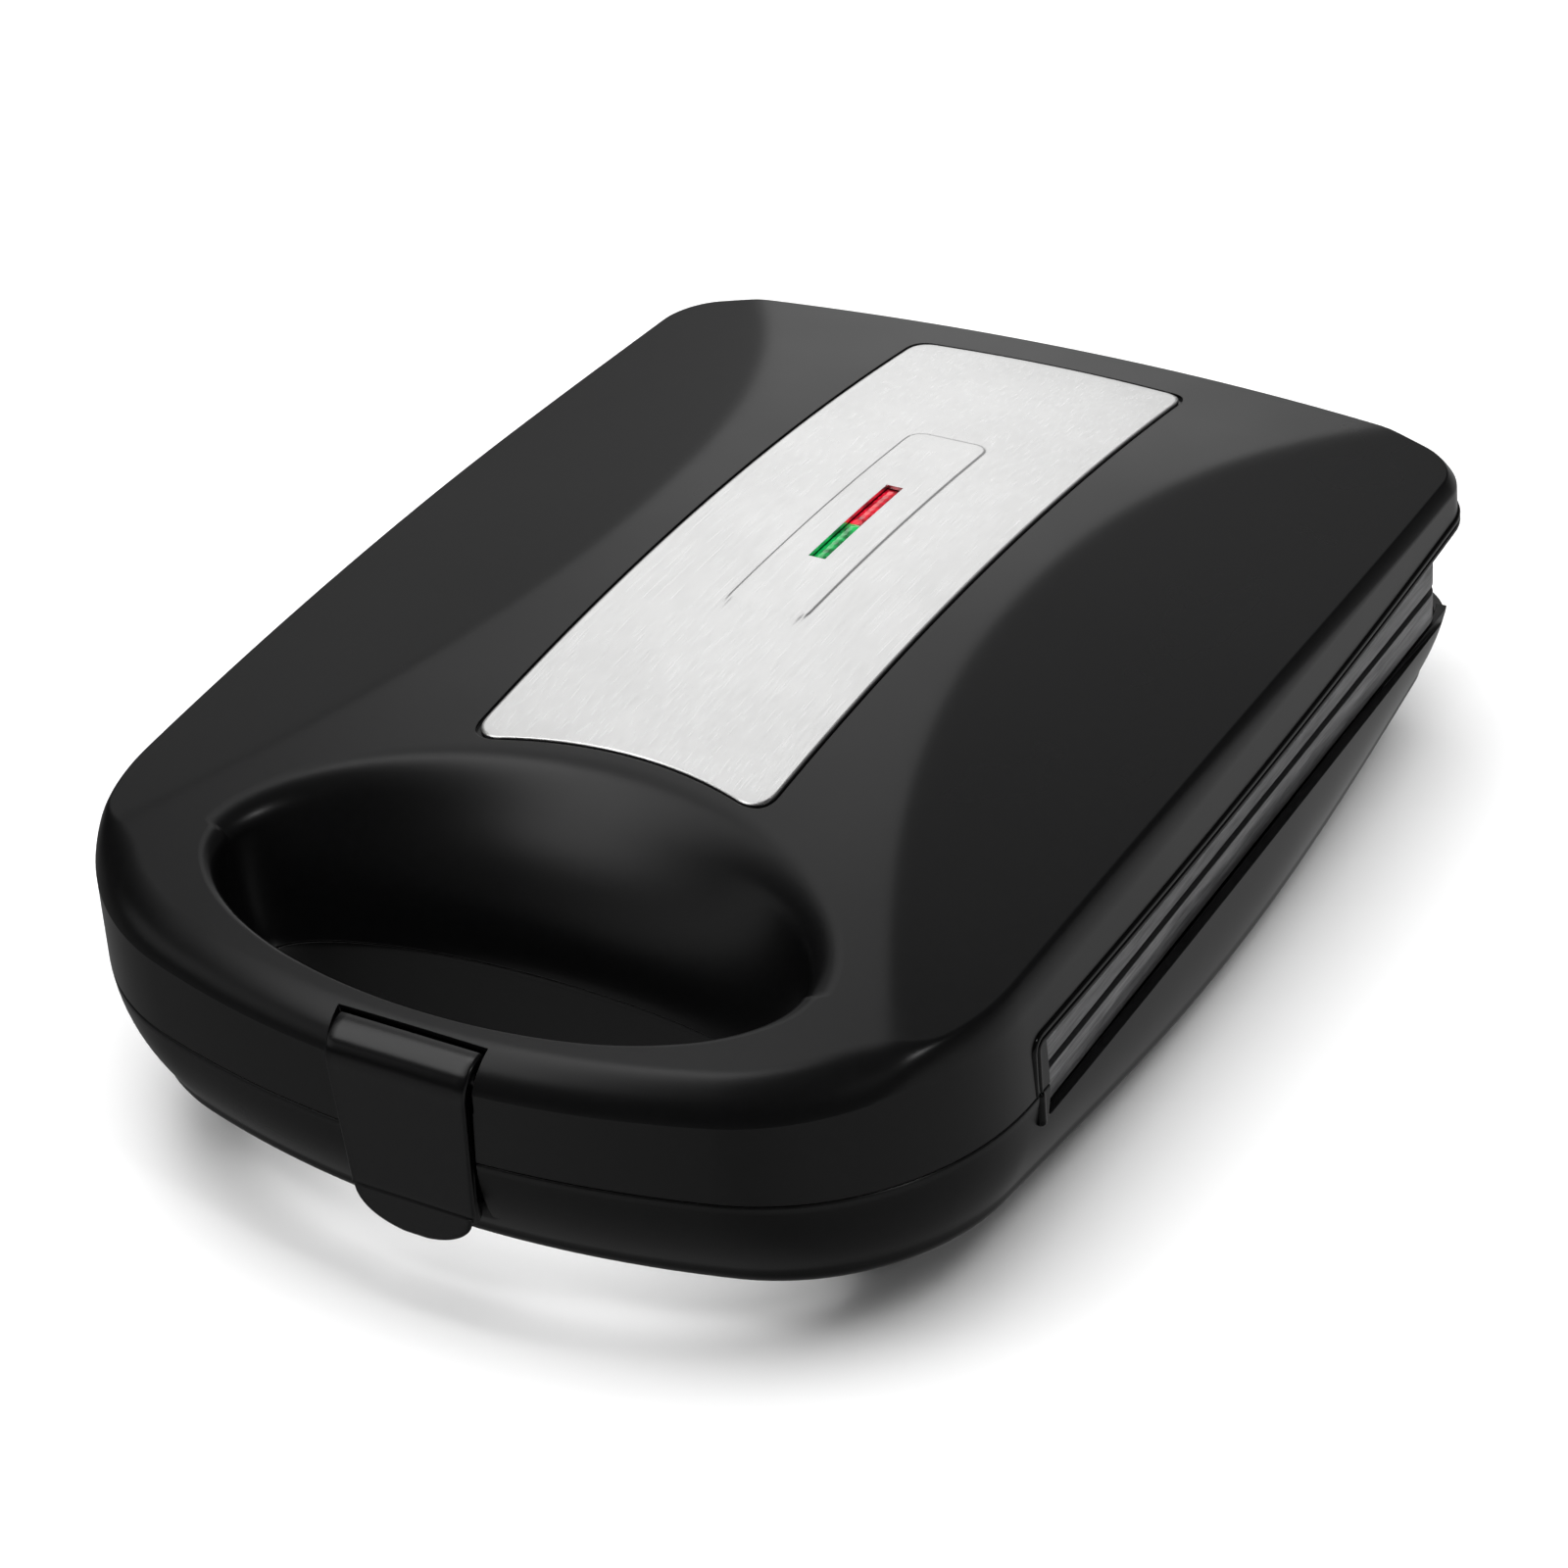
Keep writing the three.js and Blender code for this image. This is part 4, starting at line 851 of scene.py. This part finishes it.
def tube(name, path, radius):
    """A round bead along a path of points that sets off upwards, with domed ends."""
    pts = [np.array(p, float) for p in path]
    away = [pts[min(i + 1, len(pts) - 1)] - pts[max(i - 1, 0)] for i in range(len(pts))]
    side = np.cross(away[0], (1.0, 0.0, 0.0))
    caps = [(-1.0, 0.02), (-0.92, 0.4), (-0.7, 0.72), (-0.38, 0.92)]
    stations = [(0, s, r) for s, r in caps] + [(i, 0, 1) for i in range(len(pts))]
    stations += [(len(pts) - 1, -s, r) for s, r in caps[::-1]]
    rings = []
    for i, shift, size in stations:
        t = away[i] / np.linalg.norm(away[i])
        side = side - t * (side @ t)
        side = side / np.linalg.norm(side)
        up = np.cross(side, t)
        centre = pts[i] + t * shift * radius
        rings.append([centre + (side * cos(a) + up * sin(a)) * radius * size
                      for a in np.linspace(0, 2 * pi, 24, endpoint=False)])
    return make_mesh(name, *skin(rings))


def post_x(sign, y):
    """The outline's x on one side, at a y between its corners."""
    near = [i for i in range(len(EDGE)) if EDGE[i, 0] * sign > 100 and -125 < EDGE[i, 1] < 120]
    near.sort(key=lambda i: EDGE[i, 1])
    return np.interp(y, EDGE[near, 1], EDGE[near, 0])


def lid_bead_path(sign, shift):
    """Up the front post from the seam, round its corner, back along the skirt to the hinge box."""
    z_edge, z_seam = LID_SKIRT - shift, PARTING + GAP / 2 + 0.7
    first_y, corner = SIDE_FRONT - 5.0 + shift, 2.7 - shift
    order = [i for i in range(len(EDGE)) if EDGE[i, 0] * sign > HINGE_BOX_X + 2 and EDGE[i, 1] > first_y]
    if sign < 0:
        order.reverse()
    wall = EDGE[order] - NORMAL[order] * BEAD_SINK
    turns = [0] * 8 + list(np.linspace(0.15, pi / 2, 9))
    ys = [first_y + corner * (1 - cos(a)) for a in turns]
    zs = [*np.linspace(z_seam, z_edge - corner, 8), *(z_edge - corner * (1 - sin(a)) for a in turns[8:])]
    front = [(post_x(sign, y) - sign * BEAD_SINK, y, z) for y, z in zip(ys, zs)]
    back = [(x, y, z_edge) for x, y in wall if y > first_y + corner + 1]
    return front + back


def opening_beads():
    for side, sign in (("right", 1), ("left", -1)):
        for name, shift in (("outer", -BEAD_STEP), ("inner", BEAD_STEP)):
            made = tube(f"lid_bead_{name}_{side}", lid_bead_path(sign, shift), BEAD_R)
            finish(made, "lid", BEAD, angle=60)
        y = SIDE_FRONT - 3.9
        heights = np.linspace(43.8, PARTING - GAP / 2 - 0.9, 8)
        made = tube(f"base_bead_{side}", [(post_x(sign, y) - sign * 0.6, y, z) for z in heights], 1.3)
        finish(made, "base", BEAD, angle=60)


def panel_top(x, y):
    """The panel's top, with a low step up inside the rounded frame round the window."""
    middle, half = (FRAME_FRONT + FRAME_BACK) / 2, (FRAME_BACK - FRAME_FRONT) / 2
    dx, dy = np.abs(x) - FRAME_X + FRAME_R, np.abs(y - middle) - half + FRAME_R
    beyond = np.hypot(np.maximum(dx, 0), np.maximum(dy, 0)) + np.minimum(np.maximum(dx, dy), 0) - FRAME_R
    return arch_z(y) + 0.3 + FRAME_RISE * (1 - smooth(beyond, -0.35, 0.35))


def panel():
    """The trim plate on a grid that is finer along the frame's edges."""
    frame_us = [s * np.linspace(7.0, 12.4, 24) / PANEL_X for s in (-1, 1)]
    us = np.unique(np.concatenate((np.sin(np.linspace(-1, 1, 49) * pi / 2), *frame_us)))
    span = PANEL_BACK - PANEL_FRONT
    frame_vs = [(np.linspace(a, b, 22) - PANEL_FRONT) / span for a, b in ((-9, -1), (88, 96.5))]
    vs = np.unique(np.concatenate((np.linspace(0, 1, 90), *frame_vs)))
    plans = [panel_plan(g, us, vs) for g in (-0.75, -0.55, -0.25, -0.06, 0, 0)]
    heights = [panel_top, *(arch_plus(offset) for offset in (0.29, 0.2, 0.03, -0.25, -0.6))]
    made = slab("trim_plate", plans, heights)
    boolean(made, [block(-WINDOW_X, WINDOW_X, WINDOW_FRONT, WINDOW_BACK, 80, 110)])
    finish(made, "lid", STEEL, ["trim_panel"], 20)


def lens_piece(name, y0, y1, look):
    """A lens moulded with a raised ridge and hipped ends."""
    xs, ys = np.linspace(-1, 1, 15), np.linspace(0, 1, 45)
    half = WINDOW_X - GAP
    plan = np.stack(np.meshgrid(xs * half, y0 + (y1 - y0) * ys, indexing="ij"), axis=2)

    def top(x, y):
        inwards = np.minimum(half - np.abs(x), np.minimum(y - y0, y1 - y) * 0.8)
        ridge, ripple = np.clip(inwards / 1.4, 0, 1) * LENS_RIDGE, 0.05 * np.sin(y * 2.6) * np.cos(x * 1.9)
        return arch_z(y) - LENS_SINK + ridge + ripple

    made = slab(name, [plan, plan], [top, arch_plus(-5)])
    finish(made, "lid", look, [look[1]], 25)


def latch():
    """The latch from its side section, drawn across its width with rounded edges."""
    face, back = LATCH_Y - LATCH_R, LATCH_Y - LATCH_R + LATCH_PLATE
    z, y = LATCH_Z, LATCH_Y
    section = arc((y + LATCH_SOFT, z - LATCH_SOFT), LATCH_R + LATCH_SOFT, pi, 0.5 * pi, 26)
    section += arc((y, z), LATCH_R, 0.34 * pi, 0.12 * pi, 8)
    section += arc((y, z), LATCH_BOSS, 0.02 * pi, -0.75 * pi, 20)
    turns = np.linspace(0.04, 0.44 * pi, 22)
    fall = [LATCH_FACE - (LATCH_FACE - LATCH_CHIN) * sin(t) for t in turns]
    section += [(back, z - 9), (back, LATCH_FACE + 4), (LEDGE_Y - 0.5, LATCH_FACE + 3)]
    section += [(LEDGE_Y - 0.5, zz) for zz in fall] + [(back - 0.4, LATCH_CHIN), (face + 0.3, LATCH_CHIN)]
    section += [(face - 0.2, zz) for zz in fall[::-1]]
    section += [(face - 0.2, LATCH_FACE - 0.1), (face + 0.25, LATCH_FACE + 0.4)]
    rise = z - 6 - LATCH_FACE
    section += [(face + 0.25 * (1 - t), LATCH_FACE + 2 + rise * t) for t in np.linspace(0, 1, 26)]
    loop = np.array(fillet(section, 0.7, 5))
    ahead, behind = np.roll(loop, -1, axis=0), np.roll(loop, 1, axis=0)
    run = ahead - behind
    out = np.column_stack((run[:, 1], -run[:, 0])) / np.linalg.norm(run, axis=1)[:, None]
    area = 0.5 * np.sum(loop[:, 0] * ahead[:, 1] - ahead[:, 0] * loop[:, 1])
    out = out if area > 0 else -out
    drop = np.clip((LATCH_FACE - loop[:, 1]) / (LATCH_FACE - LATCH_CHIN), 0, 1)
    tab_half = (LATCH_LOW - 0.9) * np.sqrt(1.015 - drop ** 2.2)
    half = np.where(loop[:, 1] >= LATCH_FACE, latch_half(loop[:, 1]), tab_half)
    r = LATCH_ROUND
    turns = np.linspace(0, pi / 2, 5)
    stations = [(-1, a) for a in turns] + [(s, None) for s in np.linspace(-0.9, 0.9, 19)]
    stations += [(1, a) for a in turns[::-1]]
    rings = []
    for share, a in stations:
        if a is None:
            x, pts = share * (half - r), loop
        else:
            x, pts = share * (half - r * (1 - cos(a))), loop - out * (r * (1 - sin(a)))
        rings.append([(xx, p[0], p[1]) for xx, p in zip(x, pts)])
    made = make_mesh("latch_body", *skin(rings))
    boolean(made, [rod(LATCH_BORE, -FAR, FAR, LATCH_Y, LATCH_Z)])
    finish(made, "latch", GLOSS, ["latch_clip"], 38)


# ---- Cooking plates ----
def ring_centres():
    row = RING_PITCH * sin(pi / 3)
    rows = ((-1, (-0.5, 0.5)), (0, (-1, 0, 1)), (1, (-0.5, 0.5)))
    return [(p * RING_PITCH, RING_Y + r * row) for r, ps in rows for p in ps]


def plate_outline(trim):
    x, y0, y1, r = PLATE_X - trim, PLATE_FRONT + trim, PLATE_BACK - trim, PLATE_CORNER - trim
    corners, q = ((x - r, y0 + r), (x - r, y1 - r), (r - x, y1 - r), (r - x, y0 + r)), pi / 2
    return [p for k, at in enumerate(corners) for p in arc(at, r, (k - 1) * q, k * q, 14)]


def half_ring(tube_r, x, y, z, sign, sink, flare=0.0):
    """Half a torus reaching away from the parting plane, its mouth eased by flare."""
    inner, outer = RING_R - tube_r, RING_R + tube_r
    profile = [(outer + flare, -sink), (outer + flare, 0.0)] if flare else [(outer, -sink)]
    profile += arc((RING_R, flare * 0.7), tube_r, 0, pi, 20)
    profile += [(inner - flare, 0.0), (inner - flare, -sink)] if flare else [(inner, -sink)]
    angles = np.linspace(0, 2 * pi, 72, endpoint=False)
    rings = [[(x + r * cos(a), y + r * sin(a), z + sign * h) for r, h in profile] for a in angles]
    return make_mesh("tool", *skin(rings, closed=True))


def plate(name, node, body, sign, rim):
    """One plate seen from the parting plane: sign is 1 for the upper and -1 for the lower."""
    at = lambda d: PARTING + sign * d
    face, back = PLATE_GAP / 2, PLATE_GAP / 2 + PLATE_SKIN
    levels = [(2.4, face), (2.2, face + 0.15), (2.2, face + 0.6), (0.35, face + 0.72), (0.08, face + 0.82)]
    levels += [(0, face + 1.1), (0, face + rim - 0.5), (0.15, face + rim - 0.1), (0.5, face + rim)]
    made = make_mesh(name, *skin([[(x, y, at(d)) for x, y in plate_outline(t)] for t, d in levels]))
    well = prism(plate_outline(PLATE_RIM), at(back), at(60))
    boolean(made, [well])
    bumps = [half_ring(RING_TUBE + RING_SKIN, x, y, at(face + 0.5), sign, 0) for x, y in ring_centres()]
    ends = lambda a, b: sorted((at(a), at(b)))
    bosses = [post(BOSS_R, x, y, *ends(face + 1, BOSS_END)) for x, y in SCREWS]
    boolean(made, bumps + bosses, "UNION")
    grooves = [half_ring(RING_TUBE, x, y, at(face), sign, 1, 0.5) for x, y in ring_centres()]
    bores = [post(SHANK_BORE, x, y, *ends(back + 5, 60)) for x, y in SCREWS]
    boolean(made, grooves + bores)
    finish(made, body, CAST, [node], 35)


# ---- Small pieces ----
def foot(name, x, y, node):
    stem = [(0.0, 6.9), (2.6, 6.9), (3, 6.4), (3, 2.2)]
    pad = [(8.2, 2.2), (8.9, 1.9), (9, 1.5), (9, 0.9), (8.7, 0.3), (8.1, 0.0), (6.6, 0.0), (6.2, 0.5)]
    ribs = [(r, 0.5 if k % 2 else 0.85) for k, r in enumerate(np.linspace(5.4, 0.8, 8))]
    made = lathe(name, stem + pad + ribs + [(0.0, 0.5)], (x, y, 0), sides=56)
    finish(made, "base", RUBBER, [node])


def gland():
    inner, outer, bore = 154.0, GLAND_Y + 3.2, 3.4
    profile = [(bore, inner - 0.6), (7.5, inner - 0.6), (7.9, inner), (7.9, 157.3), (7.5, 157.7), (6, 157.7)]
    flange = ((6, 0.3), (7.9, 0.3), (8.5, 0.9), (8.5, 1.7), (8.1, 2.3), (7.2, 2.4), (6.9, 2.9))
    profile += [(r, GLAND_Y + rise) for r, rise in flange]
    profile += [(6.4, outer), (4.6, outer), (3.9, outer - 0.2), (bore, outer - 0.8)]
    rings = [[(r * sin(a), h, GLAND_Z + r * cos(a)) for r, h in profile]
             for a in np.linspace(0, 2 * pi, 72, endpoint=False)]
    made = make_mesh("gland_sleeve", *skin(rings, closed=True))
    finish(made, "base", RUBBER, ["cord_gland"])


def hinge_pin(side, a, b):
    r = PIN_R
    profile = [(0.0, a), (r * 0.55, a + 0.02), (r * 0.85, a + 0.25), (r, a + 0.6)]
    profile += [(r, b - 0.6), (r * 0.85, b - 0.25), (r * 0.55, b - 0.02), (0.0, b)]
    made = lathe(f"hinge_rod_{side}", profile, (0, HINGE_Y, PARTING), "X", 48)
    finish(made, "base", ZINC, [f"hinge_pin_{side}"])


def latch_pin():
    r, a, b = LATCH_PIN_R, -LATCH_PIN_END, LATCH_PIN_END
    profile = [(0.0, a), (r * 0.8, a + 0.15), (r, a + 0.5), (r, b - 0.5), (r * 0.8, b - 0.15), (0.0, b)]
    made = lathe("latch_rod", profile, (0, LATCH_Y, LATCH_Z), "X", 40)
    finish(made, "lid", ZINC, ["latch_pin"])


def cross_screw(name, x, y, seat, point, body, node):
    """A pan-head screw with a cross recess and a threaded shank."""
    away = 1 if seat > point else -1
    up = lambda h: seat + away * h
    crown = ((0.0, 2.4), (1.4, 2.35), (2.3, 2.05), (2.85, 1.4), (3.0, 0.7), (3.0, 0.0), (SHANK_R, 0.0))
    head = [(r, up(h)) for r, h in crown]
    length = abs(seat - point)
    thread = [(SHANK_R if k % 2 else THREAD_R, up(-length * k / 40)) for k in range(3, 38)]
    made = lathe(name, head + thread + [(1.2, up(-length * 0.98)), (0.0, up(-length))], (x, y, 0), sides=40)
    z0, z1 = sorted((up(1.2), up(3)))
    slots = [block(x - w, x + w, y - d, y + d, z0, z1) for w, d in ((1.6, 0.32), (0.32, 1.6))]
    cross = boolean(slots[0], [slots[1]], "UNION")
    boolean(made, [cross])
    finish(made, body, ZINC, [node])


PLACE_NAMES = ("left_front", "left_back", "right_front", "right_back")
lid_shell()
base_shell()
make_knuckles("base", BASE_KNUCKLES, PARTING - HINGE_R, PARTING - GAP / 2)
make_knuckles("lid", LID_KNUCKLES, PARTING + GAP / 2, PARTING + HINGE_R)
opening_beads()
panel()
MIDDLE = (WINDOW_FRONT + WINDOW_BACK) / 2
lens_piece("green_lens", WINDOW_FRONT + GAP, MIDDLE - GAP / 2, GREEN)
lens_piece("red_lens", MIDDLE + GAP / 2, WINDOW_BACK - GAP, RED)
latch()
latch_pin()
plate("upper_cooking_plate", "upper_plate", "lid", 1, UPPER_RIM)
plate("lower_cooking_plate", "lower_plate", "base", -1, LOWER_RIM)
gland()
for spot, (fx, fy) in zip(PLACE_NAMES, FEET):
    foot(f"rubber_foot_{spot}", fx, fy, f"foot_{spot}")
for spot, (fx, fy) in zip(PLACE_NAMES, SCREWS):
    cross_screw(f"lid_screw_{spot}", fx, fy, arch_z(fy) - 4.7, PARTING + 9.4, "lid", f"upper_screw_{spot}")
    cross_screw(f"base_screw_{spot}", fx, fy, 12.7, PARTING - 9.4, "base", f"lower_screw_{spot}")
for pin_side, (p0, p1) in zip(("right", "left"), both(KNUCKLES[0] - 1, KNUCKLES[3] + 1)):
    hinge_pin(pin_side, p0, p1)

CARRIED = {"lamp_holder": CERAMIC, "thermal_fuse": CERAMIC, "terminal_block": CERAMIC, "thermostat": HEATER,
           "neon_lamp_green": GLASS, "neon_lamp_red": GLASS, "upper_heating_element": HEATER,
           "lower_heating_element": HEATER, "upper_reflector": SHEET, "lower_reflector": SHEET}
for node_name, look in CARRIED.items():
    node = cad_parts[node_name]
    node.data.materials.clear()
    node.data.materials.append(look)


# ---- Stage and light ----
def make_stage():
    floor = block(-FLOOR_HALF, FLOOR_HALF, -FLOOR_HALF, FLOOR_HALF, -20, -0.2)
    floor.name = "floor"
    mat, tree, main = shader("floor_paper", rough=0.85, specular=0.2)
    tone = two_tones(tree, noise(tree, place(tree), 3, 4), (0.80, 0.80, 0.80), (0.84, 0.84, 0.84))
    feed(main, {"Base Color": tone})
    floor.data.materials.append(mat)
    floor.visible_glossy = False


def softbox(name, at, aim, width, height, power, glossy=True, upright=(0, 0, 1)):
    data = bpy.data.lights.new(name, "AREA")
    data.shape = "RECTANGLE"
    data.size, data.size_y, data.energy = width, height, power
    lamp = bpy.data.objects.new(name, data)
    back = (Vector(at) - Vector(aim)).normalized()
    side = Vector(upright).cross(back).normalized()
    turned = Matrix((side, back.cross(side), back)).transposed().to_4x4()
    lamp.matrix_world = Matrix.Translation(at) @ turned
    lamp.visible_glossy = glossy
    bpy.context.scene.collection.objects.link(lamp)


def stops(tree, value, levels):
    """A level for a direction's component from pairs of component and level."""
    greys = [((at + 1) / 2, [level] * 3) for at, level in levels]
    return ramp(tree, spread(tree, value, 0.0, 1.0, -1.0, 1.0), greys)


def make_light():
    world = bpy.data.worlds.new("studio")
    world.use_nodes = True
    tree = world.node_tree
    direction = axis_parts(tree, "Generated")
    across = [(-1.0, 0.10), (-0.6, 0.25), (-0.45, 0.37), (-0.1, 0.36), (0.1, 0.25), (0.5, 0.38), (1.0, 0.40)]
    ahead = [(-1.0, 1.0), (0.3, 1.0), (0.68, 1.5), (1.0, 1.5)]
    upward = [(-1.0, 0.4), (-0.78, 0.42), (-0.68, 0.58), (-0.58, 1.0), (-0.1, 1.0), (0.05, 0.12), (1.0, 0.12)]
    x, y, z = (stops(tree, direction[axis], levels) for axis, levels in zip("XYZ", (across, ahead, upward)))
    level = worked_out(tree, "MULTIPLY", worked_out(tree, "MULTIPLY", x, y), z)
    feed(tree.nodes["Background"], {"Strength": level, "Color": (1, 1, 1, 1)})
    bpy.context.scene.world = world
    softbox("tall_strip", (-0.87, 1.15, 1.3), (0, 0, 0.05), 0.5, 2.9, 4.0, upright=(0, -2.1, 2.0))
    softbox("front_strip", (-0.87, -0.5, 1.62), (0, -0.1, 0.08), 0.5, 1.84, 8.0, upright=(0, 1.7, 0.7))
    softbox("front_left_fill", (-1.65, -1.25, 0.8), (0, -0.1, 0.08), 1.6, 0.6, 1.6)
    softbox("back_fill", (-1.93, 3.08, 2.1), (0, 0, 0.05), 4.2, 3.2, 12.5)
    softbox("overhead", (0.2, -0.2, 2.6), (0, 0, 0), 3.2, 3.2, 140, glossy=False, upright=(0, 1, 0))
    softbox("edge_glint", (1.9, -0.6, 1.7), (0, 0, 0.05), 0.12, 0.3, 6)


make_stage()
make_light()
bpy.context.scene.view_settings.view_transform = "Standard"
